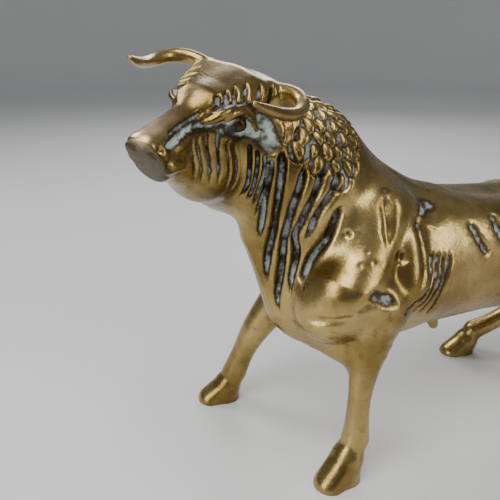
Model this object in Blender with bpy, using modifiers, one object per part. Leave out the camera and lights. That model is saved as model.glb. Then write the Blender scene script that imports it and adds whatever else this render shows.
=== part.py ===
"""A cast brass bull, striding, with its head turned to its left.

The figure is one casting. Its form is a list of rounded masses, one for each
muscle group or bone, that melt into each other. The carving (jaw strokes, brow
lobes, neck folds, mane locks, flank strokes) is then pressed into that form.

The bull faces -X, its left side is towards -Y, and its soles stand on z = 0.
"""

import math
from collections import namedtuple

import bmesh
import bpy
import numpy as np
from mathutils import Vector

# Driving size: ground to the top of the withers, in metres.
# Every place and size below is a share of it.
WITHERS = 0.180

# Mesh sizes, as shares of WITHERS, and the number of triangles kept.
BODY_VOXEL = 0.0125
TRIANGLES = 9400

# The head: where its poll is, how it is turned, and how long it is.
POLL = Vector((-0.529, -0.048, 1.313))
HEAD_YAW = math.radians(39.7)
HEAD_PITCH = math.radians(14.1)
HEAD_ROLL = math.radians(-15.8)
HEAD_LENGTH = 0.445

ACROSS = Vector((0, 1, 0))

Mass = namedtuple("Mass", "start end start_radius end_radius side wide blend")
Group = namedtuple("Group", "blend masses")


def head_axes():
    """The head's own directions: along the nose, to its left, and up."""
    nose = Vector((-math.cos(HEAD_YAW) * math.cos(HEAD_PITCH),
                   -math.sin(HEAD_YAW) * math.cos(HEAD_PITCH),
                   -math.sin(HEAD_PITCH)))
    level_left = Vector((math.sin(HEAD_YAW), -math.cos(HEAD_YAW), 0))
    level_up = nose.cross(level_left)
    left = level_left * math.cos(HEAD_ROLL) + level_up * math.sin(HEAD_ROLL)
    return nose, left, nose.cross(left)


NOSE, HEAD_LEFT, HEAD_UP = head_axes()


def on_head(along, left, up):
    """A place on the head, in head lengths from the poll."""
    return POLL + (NOSE * along + HEAD_LEFT * left + HEAD_UP * up) * HEAD_LENGTH


def mass(start, start_radius, end=None, end_radius=None, wide=1.0, side=ACROSS, blend=0.03):
    """A rounded mass from start to end. wide is its width over its height."""
    end = start if end is None else end
    end_radius = start_radius if end_radius is None else end_radius
    return Mass(Vector(start), Vector(end), start_radius, end_radius, Vector(side).normalized(), wide, blend)


def both_sides(start, start_radius, end, end_radius, **shape):
    """A mass on the bull's left and its mirror image on the right."""
    masses = []
    for sign in (-1, 1):
        left_start = Vector((start[0], sign * start[1], start[2]))
        left_end = Vector((end[0], sign * end[1], end[2]))
        masses.append(mass(left_start, start_radius, left_end, end_radius, **shape))
    return masses


def head_mass(start, start_radius, end=None, end_radius=None, wide=1.0, blend=0.03):
    """A mass on the head's middle line or one side, in head lengths."""
    end = start if end is None else end
    end_radius = start_radius if end_radius is None else end_radius
    return mass(on_head(*start), start_radius * HEAD_LENGTH, on_head(*end), end_radius * HEAD_LENGTH,
                wide=wide, side=HEAD_LEFT, blend=blend * HEAD_LENGTH)


def head_pair(start, start_radius, end=None, end_radius=None, **shape):
    """The same mass on both sides of the head."""
    end = start if end is None else end
    masses = []
    for sign in (-1, 1):
        masses.append(head_mass((start[0], sign * start[1], start[2]), start_radius,
                                (end[0], sign * end[1], end[2]), end_radius, **shape))
    return masses


def curve_points(guides, steps):
    """Points on a smooth curve through the guide points, which may have any number of coordinates."""
    guides = [np.array(guide, dtype=float) for guide in guides]
    padded = [guides[0] * 2 - guides[1]] + guides + [guides[-1] * 2 - guides[-2]]
    points = []
    for index in range(len(guides) - 1):
        before, first, second, after = padded[index:index + 4]
        for step in range(steps):
            t = step / steps
            points.append(0.5 * (first * 2 + (second - before) * t
                                 + (before * 2 - first * 5 + second * 4 - after) * t * t
                                 + (first * 3 - before - second * 3 + after) * t * t * t))
    points.append(guides[-1])
    return points


def limb(joints, blend, steps=3):
    """A group of masses along a smooth curve. A joint is (x, y, z, radius)."""
    route = curve_points(joints, steps)
    masses = []
    for first, second in zip(route, route[1:]):
        masses.append(mass(first[:3], first[3], second[:3], second[3], blend=0.004))
    return Group(blend, masses)


def trunk():
    masses = [
        mass((0.06, 0, 0.665), 0.25, (0.50, 0, 0.63), 0.205, wide=1.02, blend=0.04),
        mass((-0.04, 0, 0.82), 0.155, (0.14, 0, 0.76), 0.165, wide=0.75, blend=0.06),
        mass((0.50, 0, 0.64), 0.19, (0.82, 0, 0.70), 0.19, wide=1.10, blend=0.06),
        mass((-0.15, 0, 0.64), 0.235, (-0.05, 0, 0.66), 0.25, wide=1.0, blend=0.06),
        mass((-0.40, 0, 0.82), 0.10, (-0.29, 0, 0.58), 0.13, wide=0.6, blend=0.08),
        mass((-0.23, 0, 0.54), 0.14, (-0.10, 0, 0.51), 0.13, wide=0.85, blend=0.06),
        mass((0.25, 0, 0.43), 0.035, (0.275, 0, 0.356), 0.018, blend=0.03),
    ]
    masses += both_sides((0.16, 0.09, 0.79), 0.10, (0.60, 0.125, 0.745), 0.105, blend=0.06)
    masses += both_sides((0.64, 0.13, 0.735), 0.115, (0.86, 0.11, 0.72), 0.13, blend=0.05)
    return Group(0.04, masses)


def shoulders():
    masses = []
    masses += both_sides((-0.08, 0.13, 0.88), 0.08, (-0.22, 0.18, 0.66), 0.13, blend=0.03)
    masses += both_sides((-0.01, 0.14, 0.86), 0.07, (-0.04, 0.19, 0.66), 0.10, blend=0.025)
    masses += both_sides((-0.26, 0.15, 0.60), 0.12, (-0.12, 0.20, 0.60), 0.10, blend=0.03)
    masses += both_sides((-0.22, 0.08, 0.48), 0.09, (-0.18, 0.19, 0.45), 0.07, blend=0.04)
    return Group(0.03, masses)


def neck():
    masses = [
        mass((-0.14, 0, 0.82), 0.22, (-0.34, 0, 1.02), 0.21, wide=0.83, blend=0.08),
        mass((-0.34, 0, 1.02), 0.205, (-0.45, -0.02, 1.13), 0.155, wide=0.80, blend=0.06),
    ]
    return Group(0.08, masses)


def head():
    masses = [
        head_mass((0.08, 0, -0.17), 0.19, (0.36, 0, -0.17), 0.165, wide=1.30, blend=0.08),
        head_mass((0.10, 0, -0.070), 0.145, (0.42, 0, -0.055), 0.118, wide=1.75, blend=0.04),
        head_mass((0.45, 0, -0.10), 0.12, (0.97, 0, -0.090), 0.095, wide=1.05, blend=0.12),
        head_mass((0.97, 0, -0.145), 0.120, (0.92, 0, -0.225), 0.090, wide=1.05, blend=0.05),
        head_mass((0.82, 0, -0.20), 0.115, (0.38, 0, -0.47), 0.22, wide=0.90, blend=0.10),
        head_mass((0.38, 0, -0.47), 0.22, (0.0, 0, -0.78), 0.25, wide=0.95, blend=0.10),
        head_mass((-0.10, 0, -0.30), 0.26, (-0.05, 0, -0.60), 0.26, wide=0.9, blend=0.15),
    ]
    masses += head_pair((0.12, 0.155, -0.050), 0.115, (0.43, 0.120, -0.045), 0.080, blend=0.04)
    masses += head_pair((0.02, 0.21, -0.065), 0.095, blend=0.03)
    masses += head_pair((0.900, 0.090, -0.180), 0.060, (0.82, 0.105, -0.215), 0.050, blend=0.012)
    return Group(0.05, masses)


# The eye and the ridges round it, in head lengths: along the nose, to the left, up, radius.
EYELID = ((0.420, 0.170, -0.092, 0.010), (0.385, 0.188, -0.065, 0.022), (0.317, 0.200, -0.072, 0.026),
          (0.240, 0.225, -0.105, 0.023), (0.175, 0.238, -0.175, 0.018), (0.152, 0.240, -0.245, 0.006))
LEAF_RIDGE = ((0.560, 0.100, -0.075, 0.006), (0.500, 0.120, -0.062, 0.022), (0.450, 0.138, -0.048, 0.027),
              (0.395, 0.155, -0.038, 0.012))
EYEBALL = (0.300, 0.190, -0.160)
EYEBALL_RADIUS = 0.042


def eyes():
    """Each eyeball with its upper lid and the leaf-shaped ridge in front of it."""
    groups = []
    for sign in (-1, 1):
        for joints in (EYELID, LEAF_RIDGE):
            places = [(*on_head(a, sign * b, c), r * HEAD_LENGTH) for a, b, c, r in joints]
            groups.append(limb(places, 0.004, steps=2))
        eyeball = (EYEBALL[0], sign * EYEBALL[1], EYEBALL[2])
        groups.append(Group(0.004, [head_mass(eyeball, EYEBALL_RADIUS)]))
    return groups


# The left horn from root to tip, in head lengths: along the nose, to the left, up, radius.
HORN_JOINTS = ((-0.02, 0.14, -0.105, 0.055), (0.00, 0.285, -0.060, 0.047), (0.01, 0.445, -0.042, 0.043),
               (0.265, 0.49, -0.008, 0.040), (0.475, 0.42, 0.090, 0.029), (0.57, 0.395, 0.140, 0.015))


def horns():
    groups = []
    for sign in (-1, 1):
        joints = []
        for along, left, up, radius in HORN_JOINTS:
            place = on_head(along, sign * left, up)
            joints.append((*place, radius * HEAD_LENGTH))
        groups.append(limb(joints, 0.006, steps=7))
    return groups


def ears():
    """Each ear hangs below its horn; its root runs into the side of the head."""
    masses = head_pair((-0.02, 0.12, -0.16), 0.060, (0.02, 0.33, -0.17), 0.048, wide=0.8, blend=0.02)
    masses += head_pair((0.02, 0.33, -0.17), 0.048, (0.06, 0.405, -0.26), 0.061, wide=0.75, blend=0.02)
    masses += head_pair((0.06, 0.405, -0.26), 0.061, (0.10, 0.420, -0.385), 0.029, wide=0.75, blend=0.02)
    return Group(0.010, masses)


def hoof(fetlock, sole, heading, size=1.0):
    """The pastern and hoof; the part below z = 0 is cut off later."""
    fetlock = Vector(fetlock)
    sole = Vector(sole)
    ahead = Vector((-math.cos(heading), -math.sin(heading), 0)) * size
    across = ahead.cross(Vector((0, 0, 1)))
    coronet = fetlock.lerp(sole, 0.45)
    toe = sole + ahead * 0.040
    heel = sole - ahead * 0.024
    return Group(0.012, [
        mass(fetlock, 0.042 * size, coronet, 0.046 * size, blend=0.012),
        mass(coronet, 0.047 * size, toe, 0.050 * size, wide=1.12, side=across, blend=0.012),
        mass(coronet, 0.045 * size, heel, 0.056 * size, wide=1.08, side=across, blend=0.02),
    ])


def fore_legs():
    left = [(-0.140, -0.21, 0.62, 0.10), (-0.150, -0.222, 0.50, 0.072), (-0.176, -0.238, 0.395, 0.048),
            (-0.191, -0.246, 0.28, 0.037), (-0.198, -0.252, 0.150, 0.044)]
    right = [(-0.18, 0.20, 0.60, 0.105), (-0.265, 0.235, 0.46, 0.075), (-0.345, 0.27, 0.33, 0.056),
             (-0.392, 0.295, 0.22, 0.044), (-0.425, 0.315, 0.120, 0.048)]
    return [
        limb(left, 0.03), hoof(left[-1][:3], (-0.262, -0.262, 0.0), math.radians(14)),
        limb(right, 0.03), hoof(right[-1][:3], (-0.482, 0.335, 0.0), math.radians(-4)),
    ]


def hind_legs():
    right = [(0.82, 0.13, 0.70, 0.155), (0.77, 0.19, 0.49, 0.115), (0.89, 0.165, 0.34, 0.065),
             (0.93, 0.175, 0.27, 0.050), (0.82, 0.220, 0.175, 0.040), (0.730, 0.265, 0.110, 0.044)]
    left = [(0.84, -0.13, 0.70, 0.155), (0.83, -0.18, 0.50, 0.115), (0.98, -0.19, 0.37, 0.062),
            (1.04, -0.20, 0.31, 0.048), (1.035, -0.22, 0.20, 0.038), (1.02, -0.235, 0.12, 0.043)]
    return [
        limb(right, 0.04), hoof(right[-1][:3], (0.672, 0.288, 0.0), math.radians(-4), 0.94),
        limb(left, 0.04), hoof(left[-1][:3], (0.965, -0.240, 0.0), math.radians(6), 0.94),
    ]


def tail():
    joints = [(0.97, 0, 0.82, 0.045), (1.045, 0, 0.75, 0.032), (1.07, -0.02, 0.60, 0.024),
              (1.055, -0.05, 0.46, 0.022), (1.05, -0.08, 0.38, 0.036), (1.055, -0.10, 0.29, 0.008)]
    return limb(joints, 0.02, steps=4)


def all_groups():
    return ([trunk(), shoulders(), neck(), head(), ears()] + eyes() + horns() + fore_legs() + hind_legs() + [tail()])


# The muzzle ends in a flat face that leans back below the nostrils.
MUZZLE_FACE = on_head(1.015, 0, -0.04)
MUZZLE_NORMAL = (NOSE * 0.92 - HEAD_UP * 0.39).normalized()
MUZZLE_BLEND = 0.006


def melt(total, normal, own, own_normal, blend):
    """The smooth union of two distances and their directions."""
    mix = np.clip(0.5 + 0.5 * (total - own) / blend, 0, 1)
    joined = total * (1 - mix) + own * mix - blend * mix * (1 - mix)
    return joined, normal * (1 - mix)[:, None] + own_normal * mix[:, None]


def mass_distance(points, item):
    """Signed distance to one mass, and its direction."""
    axis = np.array(item.end - item.start)
    side = np.array(item.side)
    offset = points - np.array(item.start)
    length = axis @ axis
    share = np.clip(offset @ axis / length, 0, 1) if length > 0 else np.zeros(len(points))
    offset = offset - share[:, None] * axis
    squeeze = 1 / item.wide - 1
    offset = offset + (offset @ side * squeeze)[:, None] * side
    reach = np.maximum(np.linalg.norm(offset, axis=1), 1e-9)
    slope = offset / reach[:, None]
    slope = slope + (slope @ side * squeeze)[:, None] * side
    steep = np.linalg.norm(slope, axis=1)
    radius = item.start_radius + (item.end_radius - item.start_radius) * share
    return (reach - radius) / steep, slope / steep[:, None]


def group_distance(points, group):
    total = np.full(len(points), 9.0)
    normal = np.zeros_like(points)
    for item in group.masses:
        own, own_normal = mass_distance(points, item)
        total, normal = melt(total, normal, own, own_normal, item.blend)
    return total, normal


def group_box(group):
    """The lowest and highest corner that a group can reach."""
    low = np.full(3, 9.0)
    high = np.full(3, -9.0)
    for item in group.masses:
        for place, radius in ((item.start, item.start_radius), (item.end, item.end_radius)):
            reach = radius * max(1.0, item.wide) + group.blend + 0.04
            low = np.minimum(low, np.array(place) - reach)
            high = np.maximum(high, np.array(place) + reach)
    return low, high


def distance(points, groups):
    """Signed distance to the whole figure, and its direction, at each point."""
    total = np.full(len(points), 9.0)
    normal = np.zeros_like(points)
    for group in groups:
        low, high = group_box(group)
        near = np.nonzero(((points > low) & (points < high)).all(axis=1))[0]
        if len(near) == 0:
            continue
        own, own_normal = group_distance(points[near], group)
        total[near], normal[near] = melt(total[near], normal[near], own, own_normal, group.blend)
    face = (points - np.array(MUZZLE_FACE)) @ np.array(MUZZLE_NORMAL)
    near = np.linalg.norm(points - np.array(MUZZLE_FACE), axis=1) < 0.3
    mix = np.clip(0.5 - 0.5 * (total - face) / MUZZLE_BLEND, 0, 1) * near
    normal = normal * (1 - mix)[:, None] + np.array(MUZZLE_NORMAL) * mix[:, None]
    total = total * (1 - mix) + face * mix + MUZZLE_BLEND * mix * (1 - mix)
    return total, normal


def press_onto_form(points, groups, rounds=4):
    """Moves points along the form's own normals until they lie on it."""
    for _ in range(rounds):
        gap, normal = distance(points, groups)
        points = points - gap[:, None] * normal / np.maximum((normal ** 2).sum(axis=1), 0.25)[:, None]
    return points


def capsule(builder, item, least):
    """A closed rounded hull for one mass, no thinner than the least radius, from an icosphere pulled apart."""
    made = bmesh.ops.create_icosphere(builder, subdivisions=3, radius=1.0)
    axis = item.end - item.start
    for vertex in made["verts"]:
        direction = vertex.co.copy()
        if direction.dot(axis) > 0:
            place, radius = item.end, item.end_radius
        else:
            place, radius = item.start, item.start_radius
        offset = direction * max(radius, least)
        offset += item.side * offset.dot(item.side) * (item.wide - 1)
        vertex.co = place + offset


def rough_form(groups, voxel, collection):
    """One closed mesh around all the masses."""
    builder = bmesh.new()
    for group in groups:
        for item in group.masses:
            capsule(builder, item, voxel)
    mesh = bpy.data.meshes.new("rough_form")
    builder.to_mesh(mesh)
    builder.free()
    rough = bpy.data.objects.new("rough_form", mesh)
    collection.objects.link(rough)
    remesh = rough.modifiers.new("join", "REMESH")
    remesh.mode = "VOXEL"
    remesh.voxel_size = voxel
    graph = bpy.context.evaluated_depsgraph_get()
    joined = bpy.data.meshes.new_from_object(rough.evaluated_get(graph))
    bpy.data.objects.remove(rough)
    return joined


def vertex_array(mesh):
    flat = np.empty(len(mesh.vertices) * 3)
    mesh.vertices.foreach_get("co", flat)
    return flat.reshape(-1, 3)


def head_places(points):
    """Places on the head in head lengths: along the nose, outward on either side, and up."""
    offset = (points - np.array(POLL)) / HEAD_LENGTH
    return offset @ np.array(NOSE), np.abs(offset @ np.array(HEAD_LEFT)), offset @ np.array(HEAD_UP)


def step_up(value, low, high):
    """A smooth step from 0 at low to 1 at high."""
    share = np.clip((value - low) / (high - low), 0, 1)
    return share * share * (3 - 2 * share)


def valley(place, pitch, sharpness):
    """1 at each whole multiple of the pitch, falling to 0 between them."""
    offset = place / pitch - np.round(place / pitch)
    return np.exp(-(offset / sharpness) ** 2)


def near_route(points, route):
    """The distance from each point to a route, and how far along the route it is."""
    best = np.full(len(points), 9.0)
    along = np.zeros(len(points))
    for index, (first, second) in enumerate(zip(route, route[1:])):
        axis = second - first
        share = np.clip((points - first) @ axis / (axis @ axis), 0, 1)
        gap = np.linalg.norm(points - first - share[:, None] * axis, axis=1)
        closer = gap < best
        best[closer] = gap[closer]
        along[closer] = ((index + share) / (len(route) - 1))[closer]
    return best, along


def stroke(points, route, width, depth, fade_in=0.12, fade_out=0.12):
    """A groove along a route, narrower and shallower towards both ends."""
    gap, along = near_route(points, route)
    ends = step_up(along, -0.001, fade_in) * step_up(1 - along, -0.001, fade_out)
    return -depth * ends * np.exp(-(gap / (width * (0.35 + 0.65 * ends))) ** 2)


def body_places(guides, side):
    """Guide points of the bull's left side, or their mirror images on its right."""
    return np.array(guides) * (1, side, 1)


def face_places(guides, side):
    """Guide points in head lengths, on the left or the right side of the head."""
    return np.array([on_head(along, side * out, up) for along, out, up in guides])


def between(lines, share):
    """The guide line at a share of the way from the first line to the last."""
    place = share * (len(lines) - 1)
    first = min(int(place), len(lines) - 2)
    return np.array(lines[first]) * (first + 1 - place) + np.array(lines[first + 1]) * (place - first)


def strokes_between(points, groups, lines, count, width, depth, placed=body_places, fades=(0.12, 0.12)):
    """Evenly spread grooves from the first guide line to the last, on both sides of the bull."""
    carved = np.zeros(len(points))
    for side in (1, -1):
        for index in range(count):
            guides = between(lines, index / max(count - 1, 1))
            route = np.array(curve_points(press_onto_form(placed(guides, side), groups), 4))
            carved = np.minimum(carved, stroke(points, route, width, depth, *fades))
    return carved


def dents(points, groups, places):
    """Shallow round hollows on both sides. A place is (x, y, z, radius, depth)."""
    carved = np.zeros(len(points))
    for x, y, z, radius, depth in places:
        for side in (1, -1):
            middle = press_onto_form(np.array([(x, y * side, z)]), groups)[0]
            gap = np.linalg.norm(points - middle, axis=1)
            carved -= depth * np.exp(-(gap / radius) ** 2)
    return carved


# The upright grooves of the cheek, in head lengths: the front one, a middle one and the rear one.
JAW_LINES = (
    ((0.700, 0.120, -0.100), (0.685, 0.120, -0.210), (0.680, 0.130, -0.290), (0.660, 0.120, -0.400)),
    ((0.490, 0.160, -0.150), (0.470, 0.170, -0.280), (0.490, 0.190, -0.380), (0.500, 0.190, -0.520)),
    ((0.220, 0.240, -0.310), (0.240, 0.270, -0.430), (0.250, 0.280, -0.590), (0.260, 0.220, -0.730)),
    ((0.160, 0.380, -0.390), (0.200, 0.410, -0.490), (0.240, 0.380, -0.670), (0.210, 0.330, -0.910)),
)
JAW_STROKES = 10
JAW_WIDTH = 0.0062
JAW_DEPTH = 0.014

# The grooves that split each brow pad into lobes run up from its lower edge.
BROW_LINES = (
    ((0.490, 0.135, 0.025), (0.460, 0.120, 0.050), (0.420, 0.100, 0.060)),
    ((0.365, 0.210, -0.005), (0.320, 0.180, 0.040), (0.230, 0.120, 0.060)),
    ((0.120, 0.290, -0.090), (0.080, 0.270, -0.020), (0.020, 0.240, 0.030)),
)
BROW_STROKES = 6
BROW_WIDTH = 0.0065
BROW_DEPTH = 0.018

# The shelf below the brow pad, and the sunk band round the eye: places with their half width.
LEDGE = ((0.55, 0.10, -0.01), (0.47, 0.165, 0.01), (0.38, 0.205, -0.01), (0.27, 0.245, -0.045), (0.13, 0.285, -0.10))
BAND = ((0.86, 0.10, -0.07), (0.74, 0.10, -0.05), (0.62, 0.12, -0.06), (0.53, 0.15, -0.09), (0.39, 0.20, -0.15),
        (0.23, 0.23, -0.20), (0.16, 0.28, -0.22), (0.13, 0.34, -0.30))
BAND_HALF_WIDTHS = (0.018, 0.016, 0.018, 0.024, 0.034, 0.038, 0.034)
BAND_DEPTH = 0.013
CHEEK = (0.215, 0.245, -0.265)
CHEEK_RADIUS = 0.035
CHEEK_RISE = 0.020


def face_grooves(points, groups):
    """The grooves of the cheeks and the brows."""
    jaw = strokes_between(points, groups, JAW_LINES, JAW_STROKES, JAW_WIDTH, JAW_DEPTH, face_places, (0.08, 0.30))
    brow = strokes_between(points, groups, BROW_LINES, BROW_STROKES, BROW_WIDTH, BROW_DEPTH, face_places,
                           (0.02, 0.5))
    ledge = strokes_between(points, groups, (LEDGE, LEDGE), 1, 0.009, 0.016, face_places, (0.2, 0.2))
    return np.minimum(np.minimum(jaw, brow), ledge)


def face_band(points, groups):
    """The sunk band from the nose, under the brow and round the eye, and the cheek that swells in it."""
    carved = np.zeros(len(points))
    for side in (1, -1):
        route = np.array(curve_points(press_onto_form(face_places(BAND, side), groups), 3))
        gap, along = near_route(points, route)
        half = np.interp(along, np.linspace(0, 1, len(BAND_HALF_WIDTHS)), BAND_HALF_WIDTHS)
        carved = np.minimum(carved, -BAND_DEPTH * step_up(half - gap, -0.006, 0.008))
        cheek = press_onto_form(face_places([CHEEK], side), groups)[0]
        carved += CHEEK_RISE * np.exp(-(np.linalg.norm(points - cheek, axis=1) / CHEEK_RADIUS) ** 2)
    return carved


def muzzle_carving(points):
    """The nostrils, the line of the mouth and the crease behind the muzzle."""
    along, out, up = head_places(points)
    places = np.stack([along, out, up], axis=1)
    mouth = np.array(curve_points([(1.0, 0.12, -0.235), (0.90, 0.15, -0.245), (0.78, 0.14, -0.26)], 3))
    lips, _ = near_route(places, mouth)
    nostril = np.array([(0.975, 0.060, -0.075), (0.975, 0.100, -0.060)])
    hole, _ = near_route(places, nostril)
    behind = np.array([(0.905, 0.10, -0.045), (0.880, 0.15, -0.11), (0.80, 0.15, -0.16)])
    crease, _ = near_route(places, behind)
    return (-0.008 * np.exp(-(lips / 0.02) ** 2) - 0.012 * np.exp(-(crease / 0.025) ** 2)
            - 0.016 * np.exp(-(hole / 0.022) ** 2))


MANE_ROWS = 6
MANE_COLUMNS = 11
MANE_SPREAD = math.radians(74)
MANE_FRONT = np.array((-0.46, -0.02, 1.13))
MANE_BACK = np.array((-0.29, 0.0, 1.00))
LOCK_LENGTH = 0.027
LOCK_WIDTH = 0.0175
LOCK_HEIGHT = 0.020
LOCK_GROOVE = 0.012
LOCK_SWAY = 0.35
LOCK_SHIFT = 0.006


def mane_locks(groups):
    """The middle, flow, cross direction and size of each lock, in staggered rows round the neck."""
    axis = MANE_BACK - MANE_FRONT
    axis = axis / np.linalg.norm(axis)
    crest = np.array((-axis[2], 0, axis[0]))
    left = np.cross(axis, crest)
    locks = []
    for row in range(MANE_ROWS):
        middle = MANE_FRONT + (MANE_BACK - MANE_FRONT) * row / (MANE_ROWS - 1)
        for column in range(MANE_COLUMNS + row % 2):
            angle = MANE_SPREAD * (2 * (column - (row % 2) / 2) / (MANE_COLUMNS - 1) - 1)
            outward = crest * math.cos(angle) + left * math.sin(angle)
            place = press_onto_form((middle + outward * 0.2)[None, :], groups, rounds=8)
            _, normal = distance(place, groups)
            normal = normal[0] / np.linalg.norm(normal[0])
            downward = (left * math.cos(angle) - crest * math.sin(angle)) * math.copysign(1, angle)
            sway = LOCK_SWAY * math.sin(7.3 * row + 4.1 * column)
            flow = axis * (0.55 + sway) + downward * min(1, abs(angle) / 0.5)
            flow = flow - normal * (flow @ normal)
            flow = flow / np.linalg.norm(flow)
            across = np.cross(normal, flow)
            middle_of_lock = place[0] + across * LOCK_SHIFT * math.sin(5.7 * row + 9.2 * column)
            locks.append((middle_of_lock, flow, across, 1 + 0.18 * math.sin(3.1 * row + 6.7 * column)))
    return locks


def mane(points, groups):
    """Overlapping leaf-shaped locks, each a small dome with a sunk edge."""
    dome = np.zeros(len(points))
    cover = np.zeros(len(points))
    for place, flow, cross, size in mane_locks(groups):
        offset = (points - place) / size
        near = np.nonzero((np.abs(offset) < 2.2 * LOCK_LENGTH).all(axis=1))[0]
        offset = offset[near]
        lengthwise = offset @ flow / LOCK_LENGTH
        width = LOCK_WIDTH * (1 - 0.35 * lengthwise)
        sideways = (offset @ cross + 0.006 * lengthwise ** 2) / np.maximum(width, 0.2 * LOCK_WIDTH)
        fill = np.clip(1 - lengthwise ** 2 - sideways ** 2, 0, 1)
        dome[near] = np.maximum(dome[near], LOCK_HEIGHT * np.sqrt(fill) * (0.8 + 0.2 * lengthwise))
        gap = np.linalg.norm(offset, axis=1)
        cover[near] = np.maximum(cover[near], step_up(1.3 * LOCK_LENGTH - gap, 0, 0.4 * LOCK_LENGTH))
    return dome - LOCK_GROOVE * cover


EAR_HOLLOW = ((0.035, 0.370, -0.19), (0.075, 0.440, -0.26), (0.110, 0.440, -0.36))

# Guide lines of the folds and strokes on the left side; the right side mirrors them.
FOLDS = (
    ((-0.386, -0.178, 1.024), (-0.400, -0.140, 0.941), (-0.401, -0.095, 0.835), (-0.395, -0.060, 0.715),
     (-0.406, -0.056, 0.606), (-0.388, -0.055, 0.518)),
    ((-0.332, -0.183, 1.014), (-0.361, -0.148, 0.926), (-0.376, -0.114, 0.839), (-0.356, -0.092, 0.783),
     (-0.364, -0.082, 0.690), (-0.372, -0.098, 0.600)),
    ((-0.282, -0.177, 0.993), (-0.329, -0.173, 0.916), (-0.353, -0.124, 0.810)),
    ((-0.269, -0.161, 0.905), (-0.290, -0.152, 0.832), (-0.319, -0.124, 0.767), (-0.339, -0.121, 0.702),
     (-0.362, -0.170, 0.640)),
    ((-0.443, -0.162, 1.071), (-0.440, -0.133, 0.986), (-0.432, -0.080, 0.849), (-0.437, -0.043, 0.734),
     (-0.426, -0.036, 0.632)),
    ((-0.481, -0.142, 1.024), (-0.479, -0.101, 0.912), (-0.463, -0.040, 0.807)),
)
FOLD_WIDTH = 0.0115
FOLD_DEPTH = 0.028
FLANK_FRONT = ((0.05, -0.23, 0.78), (0.03, -0.26, 0.70), (-0.02, -0.28, 0.64), (-0.10, -0.30, 0.60))
FLANK_BACK = ((0.12, -0.23, 0.77), (0.09, -0.25, 0.67), (0.07, -0.25, 0.60), (0.05, -0.23, 0.54))
RIB_FRONT = ((0.21, -0.19, 0.84), (0.24, -0.21, 0.78), (0.28, -0.22, 0.72))
RIB_BACK = ((0.31, -0.18, 0.86), (0.32, -0.20, 0.80), (0.35, -0.22, 0.75))
# The shoulder: three upright ridges and the hollows between, behind and below them.
SHOULDER_RIDGES = (
    ((-0.230, -0.164, 1.040), (-0.216, -0.173, 0.980), (-0.215, -0.200, 0.880), (-0.225, -0.240, 0.790)),
    ((-0.075, -0.155, 0.985), (-0.080, -0.180, 0.940), (-0.088, -0.206, 0.898), (-0.110, -0.245, 0.815)),
    ((-0.040, -0.190, 0.910), (-0.045, -0.236, 0.805), (-0.055, -0.265, 0.736), (-0.090, -0.290, 0.660)),
)
RIDGE_WIDTHS = (0.034, 0.020, 0.024)
RIDGE_RISE = 0.013
SHOULDER_HOLLOWS = (
    ((-0.110, -0.163, 0.973), (-0.118, -0.186, 0.927), (-0.122, -0.205, 0.878), (-0.140, -0.243, 0.815)),
    ((-0.076, -0.225, 0.800), (-0.080, -0.240, 0.745)),
    ((0.110, -0.130, 0.905), (0.020, -0.180, 0.893), (-0.006, -0.213, 0.860), (0.000, -0.233, 0.817),
     (0.002, -0.259, 0.753), (-0.020, -0.284, 0.690), (-0.080, -0.302, 0.618)),
    ((-0.278, -0.296, 0.640), (-0.238, -0.307, 0.662), (-0.189, -0.291, 0.680), (-0.152, -0.301, 0.665),
     (-0.110, -0.307, 0.630)),
    ((-0.379, -0.130, 0.585), (-0.344, -0.237, 0.600), (-0.286, -0.284, 0.610), (-0.254, -0.303, 0.640)),
)
HOLLOW_WIDTHS = (0.020, 0.018, 0.026, 0.020, 0.020)
HOLLOW_DEPTHS = (0.020, 0.014, 0.024, 0.022, 0.016)
SHOULDER_DENTS = (
    (-0.243, -0.20, 0.855, 0.010, 0.010),
    (0.045, -0.16, 0.900, 0.030, 0.010),
)


def shoulder_relief(points, groups):
    """The soft ridges and hollows of the shoulder."""
    relief = np.zeros(len(points))
    for ridge, width in zip(SHOULDER_RIDGES, RIDGE_WIDTHS):
        relief -= strokes_between(points, groups, (ridge, ridge), 1, width, RIDGE_RISE, fades=(0.3, 0.3))
    for hollow, width, depth in zip(SHOULDER_HOLLOWS, HOLLOW_WIDTHS, HOLLOW_DEPTHS):
        relief += strokes_between(points, groups, (hollow, hollow), 1, width, depth, fades=(0.3, 0.3))
    return relief


def carving(points, groups):
    """How far each point moves along its normal for the cut grooves and raised locks."""
    carved = face_grooves(points, groups) + face_band(points, groups) + muzzle_carving(points)
    carved += mane(points, groups)
    for group in [ears()] + eyes() + horns():
        gap, _ = group_distance(points, group)
        carved = carved * step_up(gap, 0.001, 0.010)
    for fold in FOLDS:
        carved += strokes_between(points, groups, (fold, fold), 1, FOLD_WIDTH, FOLD_DEPTH, fades=(0.35, 0.35))
    carved += strokes_between(points, groups, (FLANK_FRONT, FLANK_BACK), 4, 0.008, 0.014)
    carved += strokes_between(points, groups, (RIB_FRONT, RIB_BACK), 2, 0.010, 0.012)
    carved += strokes_between(points, groups, (EAR_HOLLOW, EAR_HOLLOW), 1, 0.012, 0.016, face_places)
    return carved + dents(points, groups, SHOULDER_DENTS)


def split_carved_area(mesh):
    """Quarters the faces of the head and neck, where the carving is fine."""
    builder = bmesh.new()
    builder.from_mesh(mesh)
    carved = [face for face in builder.faces
              if face.calc_center_median().x < -0.20 and face.calc_center_median().z > 0.50]
    edges = {edge for face in carved for edge in face.edges}
    bmesh.ops.subdivide_edges(builder, edges=list(edges), cuts=1, use_grid_fill=True)
    bmesh.ops.triangulate(builder, faces=builder.faces)
    builder.to_mesh(mesh)
    builder.free()


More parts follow.
